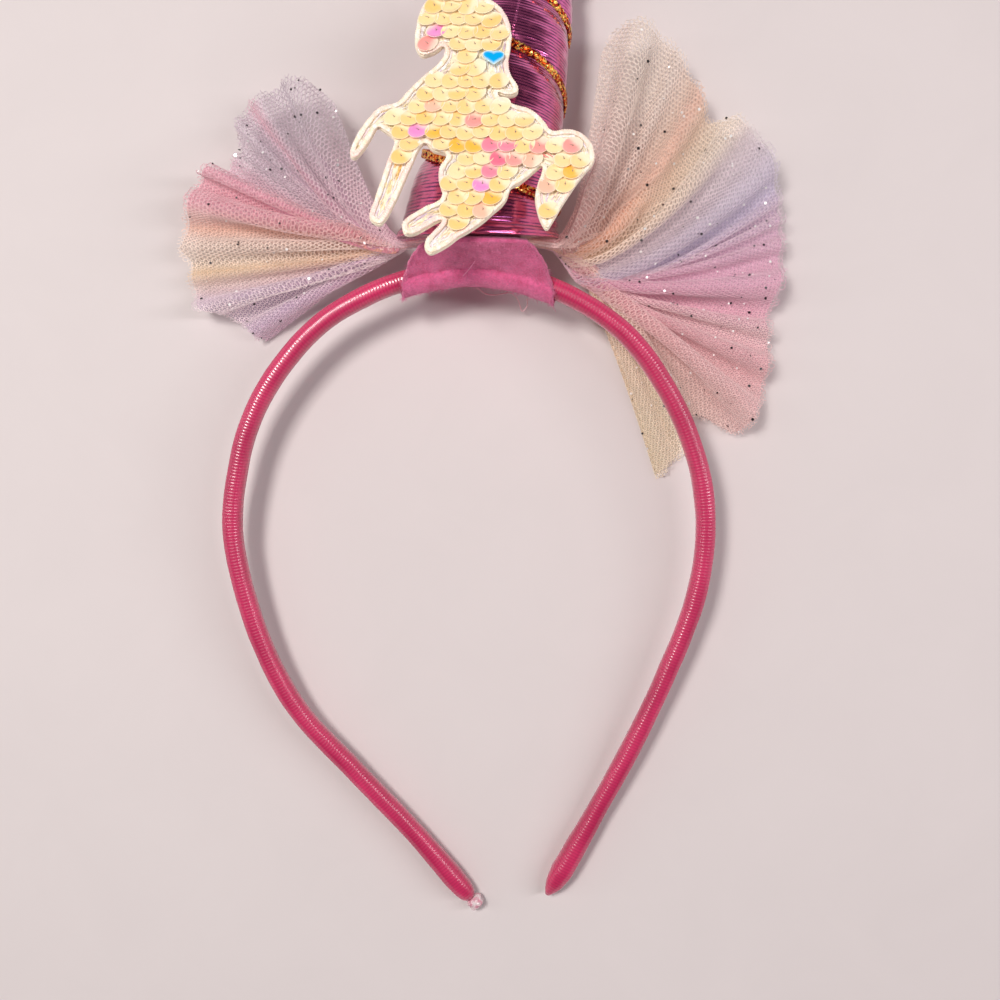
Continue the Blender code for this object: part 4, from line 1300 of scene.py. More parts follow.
@dataclass
class TulleFan:
    """A gathered fan of glittered net: its layers, its haze and its flakes."""

    name: str
    node: str
    finish: Piece
    rim: tuple[tuple[float, float, float], ...]
    stripes: tuple[Stripe, ...]
    exit_x: float
    outward: int
    cloth: float  # the strip's width before it was gathered
    pleats: int
    flakes: int
    seed: int
    layers: int = 2
    reach: float = 0.056
    rim_lift: float = 0.016
    neck_length: float = 0.007
    comes_away: float = 0.0008
    neck_top: float = 0.0215
    neck_bottom: float = 0.0122
    bend: float = 0.15
    fall: float = 2.2
    wall: float = 0.0012
    pitch: float = 0.00112
    thread: float = 0.000085
    sink: float = 0.0006
    shares: int = 260
    step: float = 0.0008
    farthest: float = 0.073
    wrinkles: float = 0.0003
    fineness: int = 2600  # places across the folded cloth
    flake_radius: float = 0.00026
    flake_lift: float = 0.0003
    # the share of flakes painted near black, a painted dark reflection; the rest are painted white, a
    # painted glint
    dark_reflection_share: float = 0.55

    def __post_init__(self) -> None:
        """Works out the fan's surface once."""
        self.ground, self.normals, self.ends = self.surface()
        self.folds = self.fold()

    def surface(self) -> tuple[Array, Array, Array]:
        """The fan's unfolded surface by share across and distance along.

        Returns:
            Its points, its normals and the distance to the rim at each share.
        """
        share = np.linspace(0, 1, self.shares)
        bearings = column(self.rim, 0)
        way = np.concatenate([[0], np.cumsum(np.abs(np.diff(bearings)))])
        way = way / way[-1]
        soft = np.hanning(9) / np.hanning(9).sum()
        bearing, reach, lift = (
            np.convolve(np.pad(np.interp(share, way, column(self.rim, k)), 4, "edge"), soft, "valid")
            for k in range(3)
        )
        level = self.neck_top + (self.neck_bottom - self.neck_top) * share[:, None]
        face = HORN.face(self.exit_x + SHIFT[0], level)
        neck = np.linspace(0, 1, 9)[:-1][None, :]
        neck_x = self.exit_x + SHIFT[0] + self.outward * self.neck_length * (neck - 1)
        neck_y = HORN.face(neck_x, level) - CLEARANCE - self.wall / 2 - self.comes_away * neck
        t = np.linspace(0, 1.15, 110)[None, :]
        turn, far = np.radians(bearing)[:, None], (reach * self.reach)[:, None]
        leave_y = face - CLEARANCE - self.wall / 2 - self.comes_away
        x = self.exit_x + SHIFT[0] + 2 * t * (1 - t) * self.outward * self.bend * far
        x = x + t * t * far * np.cos(turn)
        y = leave_y + t * t * far * np.sin(turn)
        rim = (lift * self.rim_lift)[:, None]
        z = rim + (level - rim) * np.clip(1 - t, 0, 1) ** self.fall
        points = np.concatenate(
            [
                np.stack(np.broadcast_arrays(neck_x, neck_y, level), axis=-1),
                np.stack(np.broadcast_arrays(x, y, z), axis=-1),
            ],
            axis=1,
        )
        at = np.arange(0, self.farthest, self.step)
        table = np.empty((self.shares, len(at), 3))
        ends = np.empty(self.shares)
        rim_step = 8 + int(np.searchsorted(t[0], 1.0))
        for row in range(self.shares):
            distance = lengths(points[row])
            ends[row] = distance[rim_step]
            for k in range(3):
                table[row, :, k] = np.interp(at, distance, points[row, :, k])
        along, across = np.gradient(table, axis=(1, 0))
        normal = unit(np.cross(across, along) * self.outward)
        return table, normal, ends

    def fold(self) -> FoldedCloth:
        """Folds the cloth so that its full width fits the fan at every distance."""
        random = np.random.default_rng(self.seed)
        count = self.fineness
        wave = random.uniform(0.55, 1.6, self.pleats)
        strength = random.uniform(0.6, 1.25, self.pleats)
        edges = np.concatenate([[0], np.cumsum(wave)]) / wave.sum()
        s = np.linspace(0, 1, count)
        phase = 2 * math.pi * np.interp(s, edges, np.arange(self.pleats + 1))
        centres = (edges[1:] + edges[:-1]) / 2
        strength = np.interp(s, centres, strength)
        lean = np.interp(s, centres, random.uniform(-0.3, 0.3, self.pleats))
        steps = self.ground.shape[1]
        width = np.linalg.norm(np.diff(self.ground, axis=0), axis=2).sum(axis=0)
        share, height = np.empty((steps, count)), np.empty((steps, count))
        for k in range(steps):
            wanted = min(width[k] / self.cloth, 0.985)
            low, high = 0.0, 3.2
            for _ in range(22):
                middle = (low + high) / 2
                turned = middle * strength * np.sin(phase) + lean * middle * 0.5
                low, high = (middle, high) if np.cos(turned).mean() > wanted else (low, middle)
            turned = low * strength * np.sin(phase) + lean * low * 0.5
            across = np.concatenate([[0], np.cumsum(np.cos(turned))[:-1]])
            share[k] = across / across[-1]
            raised = np.cumsum(np.sin(turned)) * self.cloth / count
            raised -= np.linspace(raised[0], raised[-1], count)
            height[k] = raised - raised.mean()
        distance = np.arange(steps) * self.step
        easing = np.interp(distance, [0, 0.008, 0.02, 0.038], [0.0, 0.12, 0.5, 1.0])[:, None]
        rim_row = min(steps - 1, int(self.reach / self.step))
        return FoldedCloth(share, height * easing, share[rim_row])

    def lay(self, s: Array, along: Array, layer: int) -> Array:
        """Where places on one layer are.

        Args:
            s: places across the cloth, 0 to 1.
            along: distances from the gathered end.
            layer: 0 is the top one.

        Returns:
            The points.
        """
        cloth = self.folds
        row = np.clip(along / self.step, 0, cloth.share.shape[0] - 1.001)
        spot = np.clip(s, 0, 1) * (cloth.share.shape[1] - 1.001)
        share = between_cells(cloth.share[..., None], row, spot)[..., 0]
        height = between_cells(cloth.height[..., None], row, spot)[..., 0]
        spot = np.clip(share, 0, 1) * (self.shares - 1.001)
        row = np.clip(along / self.step, 0, self.ground.shape[1] - 1.001)
        points = between_cells(self.ground, spot, row)
        normal = between_cells(self.normals, spot, row)
        points = points + normal * (height - self.sink * layer)[..., None]
        easing = np.clip(along / 0.03, 0, 1)
        wrinkle = ripple(points, 0.014, self.seed + layer) * self.wrinkles * easing
        points[..., 2] = np.maximum(points[..., 2] + wrinkle, 0.0004)
        return points

    def share_at(self, s: Array) -> Array:
        """Which share of the fan places across the cloth reach at the rim, 0 to 1."""
        rim = self.folds.rim_share
        return np.clip(np.interp(s, np.linspace(0, 1, len(rim)), rim), 0, 1)

    def rim_at(self, s: Array, layer: int) -> Array:
        """The distance from the gathered end to the rim, at places across the cloth."""
        ends = np.interp(self.share_at(s), np.linspace(0, 1, self.shares), self.ends)
        return ends * (1 - 0.004 * layer)

    def dye(self, s: Array, along: Array, layer: int) -> tuple[Array, Array, Array]:
        """The cloth's colour, its cover and its threads' colour at places on it."""
        share = self.share_at(s)
        bearings = column(self.rim, 0)
        whole = abs(bearings[-1] - bearings[0])
        at = [abs(stripe.bearing - bearings[0]) / whole for stripe in self.stripes]
        out = np.clip((along / self.rim_at(s, layer) - 0.12) / 0.7, 0, 1)
        colours = []
        for k in range(3):
            rim = np.interp(share, at, [stripe.rim[k] for stripe in self.stripes])
            gather = np.interp(share, at, [stripe.gather[k] for stripe in self.stripes])
            colours.append(gather + (rim - gather) * out**0.8)
        colour = np.stack(colours, axis=-1)
        cover = np.interp(share, at, [stripe.cover for stripe in self.stripes])
        cover = 0.95 + (cover - 0.95) * out**0.7
        holes = np.interp(share, at, [stripe.holes for stripe in self.stripes])
        # The haze is darkened by up to a third where holes is high, and more towards the gather: painted
        # shade of the layers beneath. The threads are paled with it.
        holes = np.clip(0.1 + holes + 0.28 * (1 - out), 0, 1)[..., None]
        pale = np.array(srgb(255, 240, 230))
        colour = (colour + (np.array(srgb(222, 206, 206)) - colour) * 0.2) * 0.84
        threads = colour + (pale - colour) * (0.10 + 0.5 * holes)
        threads = threads * np.clip(0.55 + cover, 0, 1)[..., None]
        return colour * (1 - 0.32 * holes), cover * 0.86, threads

    def net(self, layer: int) -> bpy.types.Object:
        """One layer of hexagonal net, thread by thread."""
        columns, rows = round(self.cloth / self.pitch), round(self.farthest / self.pitch * 1.16)
        i, j = np.meshgrid(np.arange(-rows, columns), np.arange(rows), indexing="ij")
        shift = 0.37 * layer * self.pitch
        first = np.array([self.pitch, 0.0])
        second = np.array([self.pitch / 2, self.pitch * math.sqrt(3) / 2])
        node = i[..., None] * first + j[..., None] * second
        node = node.reshape(-1, 2) + shift
        opposite = node + (0.0, self.pitch / math.sqrt(3))
        starts = np.concatenate([node, node, node])
        ends = np.concatenate([opposite, opposite - second, opposite - second + first])
        middle = (starts + ends) / 2
        s = middle[:, 0] / self.cloth
        jag = 0.0006 * ripple(np.column_stack([middle, middle[:, 0]]), 0.006, 3 + layer)
        keep = (s > 0) & (s < 1) & (middle[:, 1] > 0)
        keep &= middle[:, 1] < self.rim_at(s, layer) + jag
        starts, ends, middle = starts[keep], ends[keep], middle[keep]
        places = [self.lay(end[:, 0] / self.cloth, end[:, 1], layer) for end in (starts, ends)]
        ahead = unit(places[1] - places[0])
        small = 0.0004
        s, along = middle[:, 0] / self.cloth, middle[:, 1]
        here = self.lay(s, along, layer)
        beside = self.lay(s + small / self.cloth, along, layer) - here
        beyond = self.lay(s, along + small, layer) - here
        normal = unit(np.cross(beside, beyond))
        side = unit(np.cross(ahead, normal))
        _, _, tint = self.dye(s, along, layer)
        if layer:
            offsets = [side * self.thread, -side * self.thread]
            faces = np.array([[0, 1, 3, 2]])
        else:
            turns = (0, 2 * math.pi / 3, 4 * math.pi / 3)
            offsets = [(side * math.cos(a) + normal * math.sin(a)) * self.thread for a in turns]
            faces = np.array([[0, 1, 4, 3], [1, 2, 5, 4], [2, 0, 3, 5]])
        corners = [place + offset for place in places for offset in offsets]
        corners = np.stack(corners, axis=1)
        count = corners.shape[1]
        faces = (np.arange(len(corners))[:, None, None] * count + faces[None]).reshape(-1, 4)
        made = mesh_piece(
            f"{self.name}_net_{layer + 1}",
            corners.reshape(-1, 3),
            faces,
            net_finish(f"{self.name}_threads_{layer + 1}"),
            tint=np.repeat(tint, count, axis=0),
        )
        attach(made, "root")
        return made

    def haze(self) -> bpy.types.Object:
        """The deeper layers as one sheer folded sheet."""
        layer = self.layers
        across, rows = 420, 52
        s = np.linspace(0, 1, across)[None, :]
        along = np.linspace(0, 0.995, rows)[:, None] * self.rim_at(s[0], layer)[None, :]
        s, along = np.broadcast_arrays(s, along)
        points = self.lay(s, along, layer)
        tint, cover, _ = self.dye(s, along, layer)
        uv = np.stack([s * self.cloth, along], axis=-1)
        made = mesh_piece(
            f"{self.name}_haze",
            points,
            grid_faces(rows, across),
            haze_finish(f"{self.name}_haze"),
            uv=uv,
            tint=tint,
            cover=cover.reshape(-1),
        )
        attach(made, "root")
        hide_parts(self.node)
        return made

    def glitter(self) -> bpy.types.Object:
        """Hexagonal flakes scattered over the top layer."""
        random = np.random.default_rng(self.seed + 77)
        s = random.random(self.flakes)
        along = self.rim_at(s, 0) * np.sqrt(random.uniform(0.03, 0.99, self.flakes))
        places = self.lay(s, along, 0) + (0, 0, self.flake_lift)
        turn = 2 * math.pi * np.arange(6) / 6
        shape = np.stack([np.cos(turn), np.sin(turn), 0 * turn], axis=-1) * self.flake_radius
        faces = np.array([[0, 1, 2, 3], [0, 3, 4, 5]])
        out = unit(np.array([0, 0, 1.0]) + random.normal(size=(self.flakes, 3)) * 0.42)
        side = unit(np.cross(out, random.normal(size=(self.flakes, 3))))
        frames = np.stack([side, np.cross(out, side), out], axis=1)
        frames = frames * random.uniform(0.55, 1.55, (self.flakes, 1, 1))
        corners, numbers = copies(shape, faces, frames, places)
        # Most flakes are painted near black, a painted dark reflection; the rest white, a painted glint.
        dark = random.random(self.flakes) < self.dark_reflection_share
        tint = np.where(dark[:, None], srgb(26, 14, 22), srgb(255, 252, 250))
        made = mesh_piece(
            f"{self.name}_flakes",
            corners.reshape(-1, 3),
            numbers,
            flake_finish(),
            tint=np.repeat(tint, len(shape), axis=0),
            smooth=False,
        )
        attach(made, "root")
        return made

    def build(self) -> None:
        """The haze, the net layers and the flakes."""
        self.haze()
        for layer in range(self.layers):
            self.net(layer)
        self.glitter()


def between_cells(table: Array, row: Array, spot: Array) -> Array:
    """Values between the entries of a table, by fractional row and column."""
    low, left = row.astype(int), spot.astype(int)
    a, b = (row - low)[..., None], (spot - left)[..., None]
    top = table[low, left] * (1 - b) + table[low, left + 1] * b
    bottom = table[low + 1, left] * (1 - b) + table[low + 1, left + 1] * b
    return top * (1 - a) + bottom * a


FIGURE_OUTLINE = (
    (0.324, 1.165), (0.282, 1.107), (0.263, 1.030), (0.255, 0.941), (0.281, 0.885),
    (0.319, 0.890), (0.352, 0.909), (0.377, 0.932), (0.380, 0.890),
    (0.353, 0.843), (0.311, 0.801), (0.270, 0.760), (0.229, 0.714), (0.189, 0.663),
    (0.131, 0.645), (0.099, 0.622), (0.070, 0.585), (0.039, 0.535),
    (0.015, 0.486), (0.000, 0.441), (0.004, 0.414), (0.022, 0.411), (0.037, 0.425),
    (0.061, 0.459), (0.089, 0.513), (0.108, 0.552), (0.129, 0.540),
    (0.175, 0.504), (0.180, 0.477), (0.153, 0.400), (0.122, 0.289),
    (0.096, 0.201), (0.085, 0.148), (0.134, 0.122),
    (0.189, 0.223), (0.239, 0.351), (0.295, 0.481),
    (0.340, 0.450), (0.398, 0.432),
    (0.378, 0.400), (0.362, 0.364), (0.362, 0.324), (0.371, 0.289), (0.379, 0.253),
    (0.359, 0.223), (0.319, 0.205), (0.279, 0.179), (0.239, 0.152),
    (0.217, 0.126), (0.224, 0.087), (0.248, 0.078), (0.280, 0.087),
    (0.320, 0.113), (0.360, 0.139), (0.386, 0.146), (0.349, 0.100),
    (0.317, 0.062), (0.307, 0.032), (0.319, 0.006), (0.342, 0.000),
    (0.402, 0.035), (0.442, 0.069), (0.490, 0.100), (0.542, 0.139),
    (0.583, 0.179), (0.615, 0.209), (0.640, 0.245), (0.656, 0.293),
    (0.685, 0.307), (0.726, 0.342), (0.759, 0.373), (0.787, 0.396),
    (0.779, 0.351), (0.762, 0.298), (0.754, 0.253), (0.761, 0.201),
    (0.777, 0.148), (0.801, 0.113), (0.826, 0.148),
    (0.859, 0.209), (0.896, 0.271), (0.930, 0.324), (0.963, 0.369),
    (0.992, 0.405), (1.000, 0.435), (0.995, 0.470), (0.982, 0.504), (0.953, 0.535),
    (0.915, 0.554), (0.870, 0.554), (0.826, 0.544),
    (0.809, 0.563), (0.789, 0.594), (0.760, 0.626), (0.727, 0.649),
    (0.686, 0.658), (0.645, 0.677), (0.607, 0.700), (0.595, 0.727),
    (0.624, 0.709), (0.665, 0.709), (0.686, 0.727), (0.684, 0.752),
    (0.664, 0.784), (0.649, 0.820), (0.646, 0.870), (0.655, 0.925), (0.659, 0.990),
    (0.650, 1.045), (0.624, 1.102), (0.590, 1.136), (0.548, 1.164),
    (0.510, 1.221), (0.467, 1.260), (0.440, 1.327), (0.412, 1.263),
    (0.381, 1.260), (0.296, 1.375), (0.335, 1.233),
)  # shares of the figure's width, across and up from its lower left corner
HEART_PLACE = (0.583, 0.868)


@dataclass(frozen=True)
class FigureShape:
    """The flat unicorn figure's plane and outline."""

    width: float = 0.052
    left: float = 0.0272
    below: float = 0.0104
    lift: float = 0.0006
    cloth: float = 0.0011

    def axes(self) -> tuple[Array, Array, Array, Array]:
        """The plane's corner, and its across, up and out directions."""
        ahead, right, top = HORN.axes()
        start = HORN.base() + top * (HORN.base_radius + self.lift)
        far = HORN.base() + ahead * HORN.length + top * (HORN.tip_radius + self.lift)
        out = unit(np.cross(right, unit(far - start)))
        across = unit(np.array([1.0, 0.0, 0.0]) - out * out[0])
        up = np.cross(out, across)
        return start - across * self.left - up * self.below, across, up, out

    def lay(self, flat: Array, height: Array | float) -> Array:
        """Points of the plane, at heights over its underside, in the frame."""
        corner, across, up, out = self.axes()
        points = corner + flat[..., :1] * across + flat[..., 1:2] * up
        return points + np.broadcast_to(height, flat.shape[:-1])[..., None] * out

    def outline(self, step: float) -> Array:
        """The outline, anticlockwise, with its points about a step apart."""
        return even_line(smooth_line(np.array(FIGURE_OUTLINE) * self.width, 6, True), step, True)

    def nearest(self, flat: Array) -> tuple[Array, Array]:
        """How far inside the outline places are, and which way it runs beside them."""
        edge = self.outline(0.0004)
        ahead = directions(edge, True)
        away = np.linalg.norm(flat[:, None] - edge[None], axis=-1)
        number = away.argmin(axis=1)
        a, b = edge, np.roll(edge, -1, axis=0)
        over = (a[None, :, 1] > flat[:, 1:2]) != (b[None, :, 1] > flat[:, 1:2])
        rise = np.where(np.abs(b[:, 1] - a[:, 1]) < 1e-12, 1e-12, b[:, 1] - a[:, 1])
        cross = a[:, 0] + (b[:, 0] - a[:, 0]) * (flat[:, 1:2] - a[:, 1]) / rise
        inside = (over & (flat[:, :1] < cross)).sum(axis=1) % 2 == 1
        return np.where(inside, 1, -1) * away.min(axis=1), ahead[number]


FIGURE = FigureShape()


def plate(name: str, outline: Array, thickness: float, edge: float) -> bpy.types.Object:
    """A flat piece cut along an outline, its edge rounded.

    Args:
        name: the piece's name.
        outline: its corners in the plane, n by 2.
        thickness: how thick it is.
        edge: how far the rounding reaches in.

    Returns:
        The object, its underside at height 0.
    """
    deselect()
    bpy.ops.mesh.primitive_circle_add(vertices=len(outline), radius=0.01, fill_type="NGON")
    made = bpy.context.active_object
    made.name = made.data.name = name
    corners = np.column_stack([outline, np.zeros(len(outline))])
    made.data.vertices.foreach_set("co", corners.ravel().astype(np.float32))
    bpy.ops.object.mode_set(mode="EDIT")
    bpy.ops.mesh.select_all(action="SELECT")
    bpy.ops.mesh.extrude_region_move(TRANSFORM_OT_translate={"value": (0, 0, thickness)})
    bpy.ops.mesh.select_all(action="SELECT")
    bpy.ops.mesh.normals_make_consistent(inside=False)
    bpy.ops.object.mode_set(mode="OBJECT")
    rounding = made.modifiers.new("rounded edge", "BEVEL")
    rounding.width, rounding.segments = edge, 2
    rounding.limit_method, rounding.angle_limit = "ANGLE", math.radians(70)
    made.modifiers.new("triangles", "TRIANGULATE")
    for modifier in [item.name for item in made.modifiers]:
        bpy.ops.object.modifier_apply(modifier=modifier)
    return made


class Tint(Enum):
    """The pearly tints of the sequins and of the threads beside them."""

    CREAM = srgb(248, 228, 176)
    GOLD = srgb(250, 204, 128)
    AMBER = srgb(249, 190, 72)
    PEACH = srgb(250, 192, 164)
    CORAL = srgb(246, 158, 150)
    PINK = srgb(243, 138, 160)
    ROSE = srgb(238, 116, 142)
    LILAC = srgb(240, 146, 206)
    PEARL = srgb(242, 220, 238)


class ThreadPatch(NamedTuple):
    """A tinted place of the stitched limbs; lengths are shares of the figure's width."""

    across: float
    up: float
    reach: float
    tint: Tint


THREAD_PATCHES = (
    ThreadPatch(0.21, 0.41, 0.029, Tint.GOLD),
    ThreadPatch(0.19, 0.36, 0.029, Tint.GOLD),
    ThreadPatch(0.16, 0.29, 0.024, Tint.CREAM),
    ThreadPatch(0.14, 0.21, 0.024, Tint.CREAM),
    ThreadPatch(0.81, 0.22, 0.032, Tint.PEARL),
    ThreadPatch(0.31, 0.90, 0.021, Tint.PEACH),
    ThreadPatch(0.36, 1.01, 0.029, Tint.PEARL),
    ThreadPatch(0.15, 0.55, 0.029, Tint.CREAM),
    ThreadPatch(0.05, 0.45, 0.029, Tint.CREAM),
    ThreadPatch(0.80, 0.46, 0.029, Tint.CORAL),
    ThreadPatch(0.23, 0.45, 0.020, Tint.PEARL),
)


STITCH_COLOURS = (
    (srgb(255, 250, 242), 0.32), (srgb(250, 236, 206), 0.24), (srgb(248, 228, 176), 0.12),
    (srgb(244, 216, 214), 0.10), (srgb(232, 232, 206), 0.05), (srgb(252, 246, 250), 0.17),
)  # a thread's colour, and the share of the stitches that have it


@dataclass
class FigurePatch:
    """The figure's pale cloth with its satin-stitched edge and its stitches."""

    border_width: float = 0.00056
    border_height: float = 0.00022
    ridge: float = 0.00052
    inner_inset: float = 0.00138
    stitches: int = 1500
    stitch_length: float = 0.0021
    stitch_width: float = 0.00011
    edge_room: float = 0.0009
    sequin_room: float = 0.0013
    piping_width: float = 0.00026
    piping_height: float = 0.00014

    def cloth(self) -> bpy.types.Object:
        """The plate of cloth."""
        made = plate("patch_cloth", FIGURE.outline(0.0005), FIGURE.cloth, 0.00012)
        points = np.array([corner.co for corner in made.data.vertices])
        points = FIGURE.lay(points[:, :2], points[:, 2])
        made.data.vertices.foreach_set("co", points.ravel().astype(np.float32))
        made.data.materials.append(cream_felt_finish())
        made.data.update()
        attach(made, "root")
        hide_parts("unicorn_patch")
        return made

    def moved_in(self, distance: float, step: float) -> Array:
        """The outline moved inwards and smoothed."""
        line = FIGURE.outline(step)
        ahead = directions(line, True)
        inward = np.stack([-ahead[:, 1], ahead[:, 0]], axis=-1)
        soft = np.hanning(11) / np.hanning(11).sum()
        moved = np.concatenate([line, line, line]) + np.concatenate([inward] * 3) * distance
        moved = np.stack([np.convolve(moved[:, k], soft, "same") for k in range(2)], axis=-1)
        return moved[len(line) : 2 * len(line)]

    def border(self, finish: bpy.types.Material) -> bpy.types.Object:
        """The rolled edge, ridge by ridge, and the pale line inside it."""
        out = FIGURE.axes()[3]
        line = even_line(self.moved_in(self.border_width, 0.0003), 0.00013, True)
        way = lengths(line)
        across = self.border_width * (1 + 0.12 * np.sin(2 * math.pi * way / self.ridge))
        tall = self.border_height * (1 + 0.3 * np.sin(2 * math.pi * way / self.ridge + 0.6))
        uneven = 1 + 0.10 * ripple(np.column_stack([line, line[:, 0]]), 0.0032, 5)
        section = oval(10, 1.0, 1.0)[None] * np.stack([across * uneven, tall], axis=-1)[:, None]
        height = FIGURE.cloth + CLEARANCE + self.border_height
        tube = sweep(FIGURE.lay(line, height), out, section, closed=True)
        white, cream, rose = (srgb(255, 246, 236), srgb(248, 224, 190), srgb(250, 214, 206))
        shade = np.clip(0.5 + 0.4 * ripple(tube.points, 0.0011, 6), 0, 1)
        tint = np.array(cream) + (np.array(white) - np.array(cream)) * shade[:, None]
        blush = np.clip(ripple(tube.points, 0.012, 7), 0, 1)[:, None] * 0.7
        tint = tint + (np.array(rose) - tint) * blush
        made = mesh_piece("stitched_edge", tube.points, tube.faces, finish, uv=tube.uv, tint=tint)
        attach(made, "root")
        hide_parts("unicorn_border")
        self.inner_line(finish)
        return made

    def inner_line(self, finish: bpy.types.Material) -> bpy.types.Object:
        """The thin pale piping inside the border, where there is room for it."""
        out = FIGURE.axes()[3]
        line = self.moved_in(self.inner_inset, 0.0003)
        depth, _ = FIGURE.nearest(line)
        kept = depth > self.inner_inset * 0.93
        section = oval(6, self.piping_width, self.piping_height)
        tubes = []
        starts = np.flatnonzero(kept & ~np.roll(kept, 1))
        for start in starts:
            run = np.arange(start, start + len(line)) % len(line)
            stop = int(np.argmin(kept[run])) if not kept[run].all() else len(run)
            if stop < 12:
                continue
            path = even_line(line[run[:stop]], 0.00025)
            way = lengths(path)
            high = FIGURE.cloth + 0.00010 + 0.00005 * np.sin(way / 0.0005)
            tubes.append(sweep(FIGURE.lay(path, high), out, section))
        tube = joined(tubes)
        pale, lilac = np.array(srgb(246, 238, 236)), np.array(srgb(214, 190, 206))
        shade = np.clip(ripple(tube.points, 0.004, 8), 0, 1)[:, None]
        tint = pale + (lilac - pale) * shade
        made = mesh_piece("pale_piping", tube.points, tube.faces, finish, uv=tube.uv, tint=tint)
        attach(made, "root")
        return made

    def stitching(self, finish: bpy.types.Material, sequins: Array) -> bpy.types.Object:
        """Short pale stitches where no sequin is, running along the limbs."""
        random = np.random.default_rng(SEED)
        outline = FIGURE.outline(0.001)
        low, high = outline.min(axis=0), outline.max(axis=0)
        flat = random.uniform(low, high, (self.stitches * 6, 2))
        depth, ahead = FIGURE.nearest(flat)
        away = np.linalg.norm(flat[:, None] - sequins[None], axis=-1).min(axis=1)
        keep = (depth > self.edge_room) & (away > self.sequin_room)
        flat, ahead = flat[keep][: self.stitches], ahead[keep][: self.stitches]
        count = len(flat)
        turn = random.normal(size=count) * 0.16
        c, s = np.cos(turn), np.sin(turn)
        ahead = np.stack([ahead[:, 0] * c - ahead[:, 1] * s, ahead[:, 0] * s + ahead[:, 1] * c], -1)
        _, across, up, out = FIGURE.axes()
        along = ahead[:, :1] * across + ahead[:, 1:] * up
        side = np.cross(out, along)
        size = random.uniform(0.5, 1.15, count)
        frames = np.stack([along * size[:, None], side, np.broadcast_to(out, side.shape)], axis=1)
        ends, ring = np.array([-0.5, -0.3, 0.3, 0.5]), oval(5, self.stitch_width, self.stitch_width)
        rise = np.array([-0.00010, 0.00009, 0.00009, -0.00010])
        thin = np.array([0.35, 1.0, 1.0, 0.35])
        shape = np.zeros((4, 5, 3))
        shape[..., 0] = (ends * self.stitch_length)[:, None]
        shape[..., 1] = ring[None, :, 0] * thin[:, None]
        shape[..., 2] = ring[None, :, 1] * thin[:, None] + rise[:, None]
        shape = shape.reshape(-1, 3)
        sides = triangles(grid_faces(4, 5, ring=True))
        places = FIGURE.lay(flat, FIGURE.cloth + random.uniform(0.00002, 0.00020, count))
        corners, faces = copies(shape, sides, frames, places)
        colours, shares = zip(*STITCH_COLOURS)
        tint = np.array(colours)[random.choice(len(shares), count, p=shares)]
        for patch in THREAD_PATCHES:
            away = np.linalg.norm(flat / FIGURE.width - (patch.across, patch.up), axis=1)
            tint[away < patch.reach * random.uniform(0.7, 1.3, count)] = patch.tint.value
        tint = np.repeat(tint, len(shape), axis=0)
        made = mesh_piece("stitches", corners.reshape(-1, 3), faces, finish, tint=tint)
        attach(made, "root")
        return made

    def build(self, sequins: Array) -> None:
        """The cloth, its border and its stitches."""
        finish = thread_finish()
        self.cloth()
        self.border(finish)
        self.stitching(finish, sequins)


ODD_SEQUINS = {
    Tint.CREAM: ((12, 9), (17, 7), (8, 8), (7, 6), (11, 2)),
    Tint.AMBER: ((10, 5), (9, 6), (9, 7), (7, 13), (5, 8)),
    Tint.PEACH: ((12, 5), (8, 11), (6, 12), (4, 8)),
    Tint.CORAL: ((11, 7), (8, 10), (9, 11), (9, 13), (17, 4)),
    Tint.PINK: ((9, 8), (9, 9), (7, 8)),
    Tint.ROSE: ((8, 9),),
    Tint.LILAC: ((10, 4), (6, 8), (18, 5)),
}  # the row, and the number along it, of the sequins that aren't plain gold


